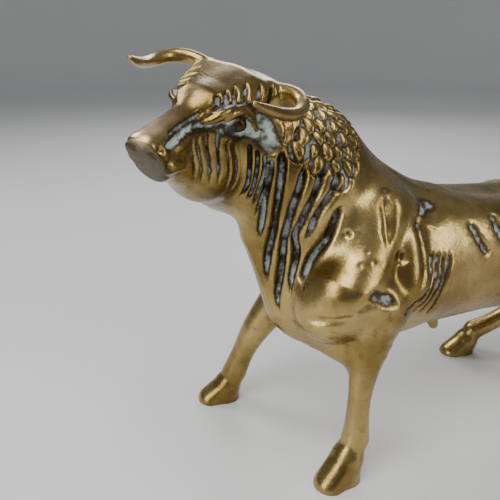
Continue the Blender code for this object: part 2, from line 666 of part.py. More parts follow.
def thin_out(bull, triangles):
    """Merges triangles where the surface is plain until the wanted number is left."""
    thin = bull.modifiers.new("thin", "DECIMATE")
    thin.ratio = triangles / len(bull.data.polygons)
    graph = bpy.context.evaluated_depsgraph_get()
    thinned = bpy.data.meshes.new_from_object(bull.evaluated_get(graph))
    bull.modifiers.clear()
    bull.data = thinned


def cut_soles(mesh):
    """Cuts the hooves level with the ground and closes each sole."""
    builder = bmesh.new()
    builder.from_mesh(mesh)
    everything = list(builder.verts) + list(builder.edges) + list(builder.faces)
    bmesh.ops.bisect_plane(builder, geom=everything, plane_co=(0, 0, 0), plane_no=(0, 0, 1), clear_inner=True)
    rim = [edge for edge in builder.edges if edge.is_boundary]
    for vertex in {vertex for edge in rim for vertex in edge.verts}:
        vertex.co.z = 0
    bmesh.ops.holes_fill(builder, edges=rim, sides=0)
    bmesh.ops.triangulate(builder, faces=[face for face in builder.faces if len(face.verts) > 3])
    builder.to_mesh(mesh)
    builder.free()


def centre_on_ground(mesh):
    """Moves the figure so that the middle of its footprint is over the origin."""
    points = vertex_array(mesh)
    middle = (points.min(axis=0) + points.max(axis=0)) / 2
    middle[2] = 0
    mesh.vertices.foreach_set("co", (points - middle).ravel())
    mesh.update()


def brass():
    material = bpy.data.materials.new("cast_brass")
    material.use_nodes = True
    shader = material.node_tree.nodes["Principled BSDF"]
    shader.inputs["Base Color"].default_value = (0.36, 0.23, 0.07, 1)
    shader.inputs["Metallic"].default_value = 1.0
    shader.inputs["Roughness"].default_value = 0.3
    return material


def main():
    for item in list(bpy.data.objects):
        bpy.data.objects.remove(item, do_unlink=True)
    collection = bpy.data.collections.new("bull_figure")
    bpy.context.scene.collection.children.link(collection)

    groups = all_groups()
    form = rough_form(groups, BODY_VOXEL, collection)
    split_carved_area(form)
    points = press_onto_form(vertex_array(form), groups)
    _, normals = distance(points, groups)
    normals = normals / np.linalg.norm(normals, axis=1)[:, None]
    relief = carving(points, groups) + shoulder_relief(points, groups)
    points = points + normals * relief[:, None]
    form.vertices.foreach_set("co", (points * WITHERS).ravel())
    form.update()
    bull = bpy.data.objects.new("bull", form)
    collection.objects.link(bull)
    thin_out(bull, TRIANGLES)
    cut_soles(bull.data)
    centre_on_ground(bull.data)
    bull.data.name = "bull"
    bull.data.materials.append(brass())


main()
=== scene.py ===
"""The looks of the cast brass bull: a finely carved mesh of the figure, its worn
and tarnished brass, a pale floor, soft studio light and the photograph's camera.

Every size of the figure is a share of WITHERS, the height of its withers.
"""

import math
from collections import namedtuple

import bmesh
import bpy
import numpy as np
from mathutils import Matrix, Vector


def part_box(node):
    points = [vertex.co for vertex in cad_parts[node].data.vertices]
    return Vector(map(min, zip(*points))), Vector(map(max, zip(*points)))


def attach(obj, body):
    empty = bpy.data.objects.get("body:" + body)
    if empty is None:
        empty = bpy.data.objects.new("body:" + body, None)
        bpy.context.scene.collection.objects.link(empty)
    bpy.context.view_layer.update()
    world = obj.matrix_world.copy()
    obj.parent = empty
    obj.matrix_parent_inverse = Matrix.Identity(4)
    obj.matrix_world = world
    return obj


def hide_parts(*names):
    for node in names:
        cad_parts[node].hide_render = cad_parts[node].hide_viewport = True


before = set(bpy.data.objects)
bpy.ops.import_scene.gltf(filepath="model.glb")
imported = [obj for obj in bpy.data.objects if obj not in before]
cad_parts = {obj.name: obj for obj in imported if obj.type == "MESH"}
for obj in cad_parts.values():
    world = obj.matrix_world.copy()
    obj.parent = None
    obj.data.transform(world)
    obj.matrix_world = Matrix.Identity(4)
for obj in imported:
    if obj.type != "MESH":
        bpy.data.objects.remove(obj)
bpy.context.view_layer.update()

# Driving size: ground to the top of the withers, in metres.
# Every place and size below is a share of it.
WITHERS = 0.180

# Mesh sizes, as shares of WITHERS, and the number of triangles kept.
BODY_VOXEL = 0.0125
TRIANGLES = 190000

# The blend between the short pieces of one limb, the room that a group's blending needs round it,
# a distance beyond the whole figure, and a length too small to matter.
LIMB_BLEND = 0.0004
GROUP_MARGIN = 0.04
FAR = 9.0
TINY = 1e-9

# The head: where its poll is, how it is turned, and how long it is.
POLL = Vector((-0.529, -0.048, 1.313))
HEAD_YAW = math.radians(39.7)
HEAD_PITCH = math.radians(14.1)
HEAD_ROLL = math.radians(-15.8)
HEAD_LENGTH = 0.445

ACROSS = Vector((0, 1, 0))

Mass = namedtuple("Mass", "start end start_radius end_radius side wide blend")
Group = namedtuple("Group", "blend masses")


def head_axes():
    """The head's own directions: along the nose, to its left, and up."""
    nose = Vector((-math.cos(HEAD_YAW) * math.cos(HEAD_PITCH),
                   -math.sin(HEAD_YAW) * math.cos(HEAD_PITCH),
                   -math.sin(HEAD_PITCH)))
    level_left = Vector((math.sin(HEAD_YAW), -math.cos(HEAD_YAW), 0))
    level_up = nose.cross(level_left)
    left = level_left * math.cos(HEAD_ROLL) + level_up * math.sin(HEAD_ROLL)
    return nose, left, nose.cross(left)


NOSE, HEAD_LEFT, HEAD_UP = head_axes()


def on_head(along, left, up):
    """A place on the head, in head lengths from the poll."""
    return POLL + (NOSE * along + HEAD_LEFT * left + HEAD_UP * up) * HEAD_LENGTH


def mass(start, start_radius, end=None, end_radius=None, wide=1.0, side=ACROSS, blend=0.03):
    """A rounded mass from start to end. wide is its width over its height."""
    end = start if end is None else end
    end_radius = start_radius if end_radius is None else end_radius
    return Mass(Vector(start), Vector(end), start_radius, end_radius, Vector(side).normalized(), wide, blend)


def both_sides(start, start_radius, end, end_radius, **shape):
    """A mass on the bull's left and its mirror image on the right."""
    masses = []
    for sign in (-1, 1):
        masses.append(mass((start[0], sign * start[1], start[2]), start_radius,
                           (end[0], sign * end[1], end[2]), end_radius, **shape))
    return masses


def head_mass(start, start_radius, end=None, end_radius=None, wide=1.0, blend=0.03):
    """A mass on the head's middle line or one side, in head lengths."""
    end = start if end is None else end
    end_radius = start_radius if end_radius is None else end_radius
    return mass(on_head(*start), start_radius * HEAD_LENGTH, on_head(*end), end_radius * HEAD_LENGTH,
                wide=wide, side=HEAD_LEFT, blend=blend * HEAD_LENGTH)


def head_pair(start, start_radius, end=None, end_radius=None, **shape):
    """The same mass on both sides of the head."""
    end = start if end is None else end
    masses = []
    for sign in (-1, 1):
        masses.append(head_mass((start[0], sign * start[1], start[2]), start_radius,
                                (end[0], sign * end[1], end[2]), end_radius, **shape))
    return masses


def curve_points(guides, steps):
    """Points on a smooth curve through the guide points, which may have any number of coordinates."""
    guides = [np.array(guide, dtype=float) for guide in guides]
    padded = [guides[0] * 2 - guides[1]] + guides + [guides[-1] * 2 - guides[-2]]
    points = []
    for index in range(len(guides) - 1):
        before, first, second, after = padded[index:index + 4]
        for step in range(steps):
            t = step / steps
            points.append(0.5 * (first * 2 + (second - before) * t
                                 + (before * 2 - first * 5 + second * 4 - after) * t * t
                                 + (first * 3 - before - second * 3 + after) * t * t * t))
    points.append(guides[-1])
    return points


def limb(joints, blend, steps=3):
    """A group of masses along a smooth curve. A joint is (x, y, z, radius)."""
    route = curve_points(joints, steps)
    masses = []
    for first, second in zip(route, route[1:]):
        masses.append(mass(first[:3], first[3], second[:3], second[3], blend=LIMB_BLEND))
    return Group(blend, masses)


def trunk():
    """The barrel, withers, loin, chest, dewlap, brisket and sheath, then the back and the rump."""
    masses = [
        mass((0.06, 0, 0.665), 0.25, (0.50, 0, 0.63), 0.205, wide=1.02, blend=0.04),
        mass((-0.04, 0, 0.82), 0.155, (0.14, 0, 0.76), 0.165, wide=0.75, blend=0.06),
        mass((0.50, 0, 0.64), 0.19, (0.82, 0, 0.70), 0.19, wide=1.10, blend=0.06),
        mass((-0.15, 0, 0.64), 0.235, (-0.05, 0, 0.66), 0.25, blend=0.06),
        mass((-0.40, 0, 0.82), 0.10, (-0.29, 0, 0.58), 0.13, wide=0.6, blend=0.08),
        mass((-0.23, 0, 0.54), 0.14, (-0.10, 0, 0.51), 0.13, wide=0.85, blend=0.06),
        mass((0.25, 0, 0.43), 0.035, (0.275, 0, 0.356), 0.018),
    ]
    masses += both_sides((0.16, 0.09, 0.79), 0.10, (0.60, 0.125, 0.745), 0.105, blend=0.06)
    masses += both_sides((0.64, 0.13, 0.735), 0.115, (0.86, 0.11, 0.72), 0.13, blend=0.05)
    return Group(0.04, masses)


def shoulders():
    """The shoulder blades, the muscle behind them, the points of the shoulders and the breast."""
    masses = both_sides((-0.08, 0.13, 0.88), 0.08, (-0.22, 0.18, 0.66), 0.13)
    masses += both_sides((-0.01, 0.14, 0.86), 0.07, (-0.04, 0.19, 0.66), 0.10, blend=0.025)
    masses += both_sides((-0.26, 0.15, 0.60), 0.12, (-0.12, 0.20, 0.60), 0.10)
    masses += both_sides((-0.22, 0.08, 0.48), 0.09, (-0.18, 0.19, 0.45), 0.07, blend=0.04)
    return Group(0.03, masses)


def neck():
    """The thick neck from the withers to the poll."""
    masses = [
        mass((-0.14, 0, 0.82), 0.22, (-0.34, 0, 1.02), 0.21, wide=0.83, blend=0.08),
        mass((-0.34, 0, 1.02), 0.205, (-0.45, -0.02, 1.13), 0.155, wide=0.80, blend=0.06),
    ]
    return Group(0.08, masses)


def head():
    """The skull, forehead, nose, muzzle, jaw, throat and nape, then the brows, horn roots and nostrils."""
    masses = [
        head_mass((0.08, 0, -0.17), 0.19, (0.36, 0, -0.17), 0.165, wide=1.30, blend=0.08),
        head_mass((0.10, 0, -0.070), 0.145, (0.42, 0, -0.055), 0.118, wide=1.75, blend=0.04),
        head_mass((0.45, 0, -0.10), 0.12, (0.97, 0, -0.090), 0.095, wide=1.05, blend=0.12),
        head_mass((0.97, 0, -0.145), 0.120, (0.92, 0, -0.225), 0.090, wide=1.05, blend=0.05),
        head_mass((0.82, 0, -0.20), 0.115, (0.38, 0, -0.47), 0.22, wide=0.90, blend=0.10),
        head_mass((0.38, 0, -0.47), 0.22, (0.0, 0, -0.78), 0.25, wide=0.95, blend=0.10),
        head_mass((-0.10, 0, -0.30), 0.26, (-0.05, 0, -0.60), 0.26, wide=0.9, blend=0.15),
    ]
    masses += head_pair((0.12, 0.155, -0.050), 0.115, (0.43, 0.120, -0.045), 0.080, blend=0.04)
    masses += head_pair((0.02, 0.21, -0.065), 0.095)
    masses += head_pair((0.900, 0.090, -0.180), 0.060, (0.82, 0.105, -0.215), 0.050, blend=0.012)
    return Group(0.05, masses)


# The eye and the ridges round it, in head lengths: along the nose, to the left, up, radius.
EYELID = ((0.465, 0.200, -0.055, 0.010), (0.420, 0.212, -0.038, 0.018), (0.375, 0.222, -0.036, 0.023),
          (0.320, 0.230, -0.052, 0.025), (0.260, 0.238, -0.095, 0.023), (0.210, 0.243, -0.150, 0.019),
          (0.180, 0.250, -0.225, 0.008))
LEAF_RIDGE = ((0.585, 0.112, -0.062, 0.006), (0.540, 0.140, -0.050, 0.021), (0.495, 0.163, -0.036, 0.027),
              (0.440, 0.190, -0.020, 0.020), (0.395, 0.203, -0.010, 0.008))
EYEBALL = (0.320, 0.207, -0.150)
EYEBALL_RADIUS = 0.040
# The right eye lies deeper: its lids don't break the outline of the brow.
RIGHT_EYE_SUNK = 0.055


def eyes():
    """Each eyeball with its upper lid and the leaf-shaped ridge in front of it."""
    groups = []
    for sign in (-1, 1):
        sunk = RIGHT_EYE_SUNK if sign < 0 else 0
        for joints in (EYELID, LEAF_RIDGE):
            places = [(*on_head(a, sign * (b - sunk), c), r * HEAD_LENGTH) for a, b, c, r in joints]
            groups.append(limb(places, 0.004, steps=2))
        eyeball = (EYEBALL[0], sign * (EYEBALL[1] - sunk), EYEBALL[2])
        groups.append(Group(0.004, [head_mass(eyeball, EYEBALL_RADIUS)]))
    return groups


# The left horn from root to tip, in head lengths: along the nose, to the left, up, radius.
HORN_JOINTS = ((-0.040, 0.140, -0.095, 0.055), (-0.040, 0.270, -0.045, 0.048),
               (-0.010, 0.390, -0.020, 0.045), (0.070, 0.475, -0.018, 0.043), (0.200, 0.505, -0.015, 0.041),
               (0.340, 0.475, 0.025, 0.036), (0.475, 0.420, 0.092, 0.028), (0.570, 0.395, 0.152, 0.014))


def horns():
    """Both horns, one the mirror image of the other."""
    groups = []
    for sign in (-1, 1):
        joints = []
        for along, left, up, radius in HORN_JOINTS:
            place = on_head(along, sign * left, up)
            joints.append((*place, radius * HEAD_LENGTH))
        groups.append(limb(joints, 0.006, steps=8))
    return groups


def ears():
    """Each ear hangs below its horn; its root runs into the side of the head."""
    masses = head_pair((-0.05, 0.12, -0.16), 0.060, (-0.03, 0.31, -0.17), 0.048, wide=0.8, blend=0.02)
    masses += head_pair((-0.03, 0.31, -0.17), 0.048, (0.005, 0.375, -0.26), 0.060, wide=0.75, blend=0.02)
    masses += head_pair((0.005, 0.375, -0.26), 0.060, (0.050, 0.385, -0.385), 0.029, wide=0.75, blend=0.02)
    return Group(0.010, masses)


def hoof(fetlock, sole, heading, size=1.0):
    """The pastern and hoof; the part below z = 0 is cut off later."""
    fetlock = Vector(fetlock)
    sole = Vector(sole)
    ahead = Vector((-math.cos(heading), -math.sin(heading), 0)) * size
    across = ahead.cross(Vector((0, 0, 1)))
    coronet = fetlock.lerp(sole, 0.45)
    toe = sole + ahead * 0.040
    heel = sole - ahead * 0.024
    return Group(0.012, [
        mass(fetlock, 0.042 * size, coronet, 0.046 * size, blend=0.012),
        mass(coronet, 0.047 * size, toe, 0.050 * size, wide=1.12, side=across, blend=0.012),
        mass(coronet, 0.045 * size, heel, 0.056 * size, wide=1.08, side=across, blend=0.02),
    ])


def fore_legs():
    """The left foreleg stands and the right one strides ahead. A joint is (x, y, z, radius)."""
    left = [(-0.140, -0.21, 0.62, 0.10), (-0.150, -0.222, 0.50, 0.072), (-0.176, -0.238, 0.395, 0.048),
            (-0.191, -0.246, 0.28, 0.037), (-0.198, -0.252, 0.150, 0.044)]
    right = [(-0.18, 0.20, 0.60, 0.105), (-0.265, 0.235, 0.46, 0.075), (-0.345, 0.27, 0.33, 0.056),
             (-0.392, 0.295, 0.22, 0.044), (-0.425, 0.315, 0.120, 0.048)]
    return [
        limb(left, 0.03), hoof(left[-1][:3], (-0.262, -0.262, 0.0), math.radians(14)),
        limb(right, 0.03), hoof(right[-1][:3], (-0.482, 0.335, 0.0), math.radians(-4)),
    ]


def hind_legs():
    """The right hind leg is ahead and the left one behind. A joint is (x, y, z, radius)."""
    right = [(0.82, 0.13, 0.70, 0.155), (0.77, 0.19, 0.49, 0.115), (0.89, 0.165, 0.34, 0.065),
             (0.93, 0.175, 0.27, 0.050), (0.82, 0.220, 0.175, 0.040), (0.730, 0.265, 0.110, 0.044)]
    left = [(0.84, -0.13, 0.70, 0.155), (0.83, -0.18, 0.50, 0.115), (0.98, -0.19, 0.37, 0.062),
            (1.04, -0.20, 0.31, 0.048), (1.035, -0.22, 0.20, 0.038), (1.02, -0.235, 0.12, 0.043)]
    return [
        limb(right, 0.04), hoof(right[-1][:3], (0.672, 0.288, 0.0), math.radians(-4), 0.94),
        limb(left, 0.04), hoof(left[-1][:3], (0.965, -0.240, 0.0), math.radians(6), 0.94),
    ]


def tail():
    """The tail hangs close behind the left hind leg and ends in a tuft."""
    joints = [(0.97, 0, 0.82, 0.045), (1.045, 0, 0.75, 0.032), (1.07, -0.02, 0.60, 0.024),
              (1.055, -0.05, 0.46, 0.022), (1.05, -0.08, 0.38, 0.036), (1.055, -0.10, 0.29, 0.008)]
    return limb(joints, 0.02, steps=4)


def all_groups():
    """Every part of the figure, in the order in which they are blended."""
    middle = [trunk(), shoulders(), neck(), head(), ears()]
    return middle + eyes() + horns() + fore_legs() + hind_legs() + [tail()]


# The muzzle ends in a flat face that leans back below the nostrils.
MUZZLE_FACE = on_head(1.015, 0, -0.04)
MUZZLE_NORMAL = (NOSE * 0.92 - HEAD_UP * 0.39).normalized()
MUZZLE_BLEND = 0.006
MUZZLE_REACH = 0.3


def melt(total, normal, own, own_normal, blend):
    """The smooth union of two distances and their directions."""
    mix = np.clip(0.5 + 0.5 * (total - own) / blend, 0, 1)
    joined = total * (1 - mix) + own * mix - blend * mix * (1 - mix)
    return joined, normal * (1 - mix)[:, None] + own_normal * mix[:, None]


def mass_distance(points, item):
    """Signed distance to one mass, and its direction."""
    axis = np.array(item.end - item.start)
    side = np.array(item.side)
    offset = points - np.array(item.start)
    length = axis @ axis
    share = np.clip(offset @ axis / length, 0, 1) if length > 0 else np.zeros(len(points))
    offset = offset - share[:, None] * axis
    squeeze = 1 / item.wide - 1
    offset = offset + (offset @ side * squeeze)[:, None] * side
    reach = np.maximum(np.linalg.norm(offset, axis=1), TINY)
    slope = offset / reach[:, None]
    slope = slope + (slope @ side * squeeze)[:, None] * side
    steep = np.linalg.norm(slope, axis=1)
    radius = item.start_radius + (item.end_radius - item.start_radius) * share
    return (reach - radius) / steep, slope / steep[:, None]


def group_distance(points, group):
    """Signed distance to one group, and its direction, at each point."""
    total = np.full(len(points), FAR)
    normal = np.zeros_like(points)
    for item in group.masses:
        own, own_normal = mass_distance(points, item)
        total, normal = melt(total, normal, own, own_normal, item.blend)
    return total, normal


def group_box(group):
    """The lowest and highest corner that a group can reach."""
    low = np.full(3, FAR)
    high = np.full(3, -FAR)
    for item in group.masses:
        for place, radius in ((item.start, item.start_radius), (item.end, item.end_radius)):
            reach = radius * max(1.0, item.wide) + group.blend + GROUP_MARGIN
            low = np.minimum(low, np.array(place) - reach)
            high = np.maximum(high, np.array(place) + reach)
    return low, high


def distance(points, groups):
    """Signed distance to the whole figure, and its direction, at each point."""
    total = np.full(len(points), FAR)
    normal = np.zeros_like(points)
    for group in groups:
        low, high = group_box(group)
        near = np.nonzero(((points > low) & (points < high)).all(axis=1))[0]
        if len(near) == 0:
            continue
        own, own_normal = group_distance(points[near], group)
        total[near], normal[near] = melt(total[near], normal[near], own, own_normal, group.blend)
    face = (points - np.array(MUZZLE_FACE)) @ np.array(MUZZLE_NORMAL)
    near = np.linalg.norm(points - np.array(MUZZLE_FACE), axis=1) < MUZZLE_REACH
    mix = np.clip(0.5 - 0.5 * (total - face) / MUZZLE_BLEND, 0, 1) * near
    normal = normal * (1 - mix)[:, None] + np.array(MUZZLE_NORMAL) * mix[:, None]
    total = total * (1 - mix) + face * mix + MUZZLE_BLEND * mix * (1 - mix)
    return total, normal


def press_onto_form(points, groups, rounds=4):
    """Moves points along the form's own normals until they lie on it."""
    for _ in range(rounds):
        gap, normal = distance(points, groups)
        points = points - gap[:, None] * normal / np.maximum((normal ** 2).sum(axis=1), 0.25)[:, None]
    return points


def show(name, data):
    """A new object in the scene, from a mesh, a light or a camera."""
    item = bpy.data.objects.new(name, data)
    bpy.context.scene.collection.objects.link(item)
    return item


def with_modifiers(item):
    """A new mesh: the object's mesh with its modifiers carried out."""
    graph = bpy.context.evaluated_depsgraph_get()
    return bpy.data.meshes.new_from_object(item.evaluated_get(graph))


def capsule(builder, item, least):
    """A closed rounded hull for one mass, no thinner than the least radius."""
    made = bmesh.ops.create_icosphere(builder, subdivisions=3, radius=1.0)
    axis = item.end - item.start
    for vertex in made["verts"]:
        direction = vertex.co.copy()
        if direction.dot(axis) > 0:
            place, radius = item.end, item.end_radius
        else:
            place, radius = item.start, item.start_radius
        offset = direction * max(radius, least)
        offset += item.side * offset.dot(item.side) * (item.wide - 1)
        vertex.co = place + offset


def rough_form(groups, voxel):
    """One closed mesh around all the masses."""
    builder = bmesh.new()
    for group in groups:
        for item in group.masses:
            capsule(builder, item, voxel)
    mesh = bpy.data.meshes.new("rough_form")
    builder.to_mesh(mesh)
    builder.free()
    rough = show("rough_form", mesh)
    remesh = rough.modifiers.new("join", "REMESH")
    remesh.mode = "VOXEL"
    remesh.voxel_size = voxel
    joined = with_modifiers(rough)
    bpy.data.objects.remove(rough)
    return joined


def vertex_array(mesh):
    """The places of a mesh's vertices, one in each row."""
    flat = np.empty(len(mesh.vertices) * 3)
    mesh.vertices.foreach_get("co", flat)
    return flat.reshape(-1, 3)


def head_places(points):
    """Places on the head in head lengths: along the nose, outward on either side, and up."""
    offset = (points - np.array(POLL)) / HEAD_LENGTH
    return offset @ np.array(NOSE), np.abs(offset @ np.array(HEAD_LEFT)), offset @ np.array(HEAD_UP)


def step_up(value, low, high):
    """A smooth step from 0 at low to 1 at high."""
    share = np.clip((value - low) / (high - low), 0, 1)
    return share * share * (3 - 2 * share)


def near_route(points, route):
    """The distance from each point to a route, and how far along the route it is."""
    best = np.full(len(points), FAR)
    along = np.zeros(len(points))
    for index, (first, second) in enumerate(zip(route, route[1:])):
        axis = second - first
        share = np.clip((points - first) @ axis / (axis @ axis), 0, 1)
        gap = np.linalg.norm(points - first - share[:, None] * axis, axis=1)
        closer = gap < best
        best[closer] = gap[closer]
        along[closer] = ((index + share) / (len(route) - 1))[closer]
    return best, along


def stroke(points, route, width, depth, fade_in=0.12, fade_out=0.12):
    """A groove along a route, narrower and shallower towards both ends."""
    gap, along = near_route(points, route)
    ends = step_up(along, -0.001, fade_in) * step_up(1 - along, -0.001, fade_out)
    return -depth * ends * np.exp(-(gap / (width * (0.35 + 0.65 * ends))) ** 2)


def body_places(guides, side):
    """Guide points of the bull's left side, or their mirror images on its right."""
    return np.array(guides) * (1, side, 1)


def face_places(guides, side):
    """Guide points in head lengths, on the left or the right side of the head."""
    return np.array([on_head(along, side * out, up) for along, out, up in guides])


def between(lines, share):
    """The guide line at a share of the way from the first line to the last."""
    place = share * (len(lines) - 1)
    first = min(int(place), len(lines) - 2)
    return np.array(lines[first]) * (first + 1 - place) + np.array(lines[first + 1]) * (place - first)


def strokes_between(points, groups, lines, count, width, depth, placed=body_places, fades=(0.12, 0.12)):
    """Evenly spread grooves from the first guide line to the last, on both sides of the bull."""
    carved = np.zeros(len(points))
    for side in (1, -1):
        for index in range(count):
            guides = between(lines, index / max(count - 1, 1))
            route = curve_points(press_onto_form(placed(guides, side), groups), 4)
            carved = np.minimum(carved, stroke(points, route, width, depth, *fades))
    return carved


def groove(points, groups, guides, width, depth, **shape):
    """One groove along a guide line, and its mirror image on the other side."""
    return strokes_between(points, groups, (guides, guides), 1, width, depth, **shape)


def dents(points, groups, places):
    """Shallow round hollows on both sides. A place is (x, y, z, radius, depth)."""
    carved = np.zeros(len(points))
    for x, y, z, radius, depth in places:
        for side in (1, -1):
            middle = press_onto_form(np.array([(x, y * side, z)]), groups)[0]
            gap = np.linalg.norm(points - middle, axis=1)
            carved -= depth * np.exp(-(gap / radius) ** 2)
    return carved


# The upright grooves of the cheek, in head lengths: the front one, a middle one and the rear one.
JAW_LINES = (
    ((0.700, 0.120, -0.100), (0.685, 0.120, -0.210), (0.680, 0.130, -0.290), (0.660, 0.120, -0.400)),
    ((0.490, 0.160, -0.150), (0.470, 0.170, -0.280), (0.490, 0.190, -0.380), (0.500, 0.190, -0.520)),
    ((0.220, 0.240, -0.310), (0.240, 0.270, -0.430), (0.250, 0.280, -0.590), (0.260, 0.220, -0.730)),
    ((0.160, 0.380, -0.390), (0.200, 0.410, -0.490), (0.240, 0.380, -0.670), (0.210, 0.330, -0.910)),
)
JAW_STROKES = 10
JAW_WIDTH = 0.0050
JAW_DEPTH = 0.014
JAW_FADES = (0.08, 0.30)

# The grooves that split each brow pad into lobes run up from its lower edge.
BROW_LINES = (
    ((0.490, 0.135, 0.025), (0.460, 0.120, 0.050), (0.420, 0.100, 0.060)),
    ((0.365, 0.210, -0.005), (0.320, 0.180, 0.040), (0.230, 0.120, 0.060)),
    ((0.120, 0.290, -0.090), (0.080, 0.270, -0.020), (0.020, 0.240, 0.030)),
)
BROW_STROKES = 6
BROW_WIDTH = 0.0065
BROW_DEPTH = 0.018
BROW_FADES = (0.02, 0.5)

# The shelf below the brow pad.
LEDGE = ((0.55, 0.10, -0.01), (0.47, 0.165, 0.01), (0.38, 0.205, -0.01), (0.27, 0.245, -0.045),
         (0.13, 0.285, -0.10))
LEDGE_WIDTH = 0.009
LEDGE_DEPTH = 0.016
LEDGE_FADES = (0.2, 0.2)

# The sunk band round the eye, with half widths evenly spread along it, and the cheek that swells in it.
BAND = ((0.86, 0.10, -0.07), (0.74, 0.10, -0.05), (0.62, 0.12, -0.06), (0.53, 0.15, -0.09),
        (0.39, 0.20, -0.15), (0.23, 0.23, -0.20), (0.16, 0.28, -0.22), (0.13, 0.34, -0.30))
BAND_HALF_WIDTHS = (0.018, 0.016, 0.018, 0.024, 0.034, 0.038, 0.034)
BAND_DEPTH = 0.013
CHEEK = (0.215, 0.245, -0.265)
CHEEK_RADIUS = 0.035
CHEEK_RISE = 0.020


def face_grooves(points, groups):
    """The grooves of the cheeks and the brows."""
    jaw = strokes_between(points, groups, JAW_LINES, JAW_STROKES, JAW_WIDTH, JAW_DEPTH,
                          face_places, JAW_FADES)
    brow = strokes_between(points, groups, BROW_LINES, BROW_STROKES, BROW_WIDTH, BROW_DEPTH,
                           face_places, BROW_FADES)
    ledge = groove(points, groups, LEDGE, LEDGE_WIDTH, LEDGE_DEPTH, placed=face_places, fades=LEDGE_FADES)
    return np.minimum(np.minimum(jaw, brow), ledge)


def band_gap(points, groups, side):
    """The distance from each point to the middle of the band, and the band's half width there."""
    route = curve_points(press_onto_form(face_places(BAND, side), groups), 3)
    gap, along = near_route(points, route)
    return gap, np.interp(along, np.linspace(0, 1, len(BAND_HALF_WIDTHS)), BAND_HALF_WIDTHS)


def face_band(points, groups):
    """The sunk band from the nose, under the brow and round the eye, with its cheek."""
    carved = np.zeros(len(points))
    for side in (1, -1):
        gap, half = band_gap(points, groups, side)
        carved = np.minimum(carved, -BAND_DEPTH * step_up(half - gap, -0.010, 0.014))
        cheek = press_onto_form(face_places([CHEEK], side), groups)[0]
        carved += CHEEK_RISE * np.exp(-(np.linalg.norm(points - cheek, axis=1) / CHEEK_RADIUS) ** 2)
    return carved


# The mouth, the crease behind the muzzle and the nostril: a route in head lengths, a width and a depth.
MOUTH = curve_points(((1.0, 0.12, -0.235), (0.90, 0.15, -0.245), (0.78, 0.14, -0.26)), 3)
CREASE = ((0.905, 0.10, -0.045), (0.880, 0.15, -0.11), (0.80, 0.15, -0.16))
NOSTRIL = ((0.975, 0.060, -0.075), (0.975, 0.100, -0.060))
MUZZLE_LINES = ((MOUTH, 0.02, 0.008), (CREASE, 0.025, 0.012), (NOSTRIL, 0.022, 0.016))


def muzzle_carving(points):
    """The line of the mouth, the crease behind the muzzle and the nostrils."""
    places = np.stack(head_places(points), axis=1)
    carved = np.zeros(len(points))
    for route, width, depth in MUZZLE_LINES:
        gap, _ = near_route(places, np.array(route))
        carved -= depth * np.exp(-(gap / width) ** 2)
    return carved


# The mane: staggered rows of locks on the neck, and the size and unevenness of a lock.
MANE_ROWS = 6
MANE_COLUMNS = 11
MANE_SPREAD = math.radians(74)
MANE_FRONT = np.array((-0.46, -0.02, 1.13))
MANE_BACK = np.array((-0.29, 0.0, 1.00))
LOCK_LENGTH = 0.027
LOCK_WIDTH = 0.0175
LOCK_HEIGHT = 0.020
LOCK_GROOVE = 0.012
LOCK_TAPER = 0.35
LOCK_BEND = 0.006
LOCK_SWAY = 0.35
LOCK_SHIFT = 0.006
LOCK_GROWTH = 0.18
# How far the wave that makes each lock uneven runs on from row to row and from lock to lock.
SWAY_WAVE = (7.3, 4.1)
SHIFT_WAVE = (5.7, 9.2)
GROWTH_WAVE = (3.1, 6.7)


def uneven(row, column, wave):
    """A number between -1 and 1 that differs from lock to lock and is the same each time."""
    return math.sin(wave[0] * row + wave[1] * column)


def mane_locks(groups):
    """The middle, flow, cross direction and size of each lock, in staggered rows round the neck."""
    axis = MANE_BACK - MANE_FRONT
    axis = axis / np.linalg.norm(axis)
    crest = np.array((-axis[2], 0, axis[0]))
    left = np.cross(axis, crest)
    locks = []
    for row in range(MANE_ROWS):
        middle = MANE_FRONT + (MANE_BACK - MANE_FRONT) * row / (MANE_ROWS - 1)
        for column in range(MANE_COLUMNS + row % 2):
            angle = MANE_SPREAD * (2 * (column - (row % 2) / 2) / (MANE_COLUMNS - 1) - 1)
            outward = crest * math.cos(angle) + left * math.sin(angle)
            place = press_onto_form((middle + outward * 0.2)[None, :], groups, rounds=8)
            _, normal = distance(place, groups)
            normal = normal[0] / np.linalg.norm(normal[0])
            downward = (left * math.cos(angle) - crest * math.sin(angle)) * math.copysign(1, angle)
            sway = LOCK_SWAY * uneven(row, column, SWAY_WAVE)
            flow = axis * (0.55 + sway) + downward * min(1, abs(angle) / 0.5)
            flow = flow - normal * (flow @ normal)
            flow = flow / np.linalg.norm(flow)
            across = np.cross(normal, flow)
            moved = place[0] + across * LOCK_SHIFT * uneven(row, column, SHIFT_WAVE)
            locks.append((moved, flow, across, 1 + LOCK_GROWTH * uneven(row, column, GROWTH_WAVE)))
    return locks


def mane(points, groups):
    """Overlapping leaf-shaped locks, each a small dome with a sunk edge."""
    dome = np.zeros(len(points))
    cover = np.zeros(len(points))
    for place, flow, cross, size in mane_locks(groups):
        offset = (points - place) / size
        near = np.nonzero((np.abs(offset) < 2.2 * LOCK_LENGTH).all(axis=1))[0]
        offset = offset[near]
        lengthwise = offset @ flow / LOCK_LENGTH
        width = LOCK_WIDTH * (1 - LOCK_TAPER * lengthwise)
        sideways = (offset @ cross + LOCK_BEND * lengthwise ** 2) / np.maximum(width, 0.2 * LOCK_WIDTH)
        fill = np.clip(1 - lengthwise ** 2 - sideways ** 2, 0, 1)
        dome[near] = np.maximum(dome[near], LOCK_HEIGHT * np.sqrt(fill) * (0.8 + 0.2 * lengthwise))
        gap = np.linalg.norm(offset, axis=1)
        cover[near] = np.maximum(cover[near], step_up(1.3 * LOCK_LENGTH - gap, 0, 0.4 * LOCK_LENGTH))
    return dome - LOCK_GROOVE * cover


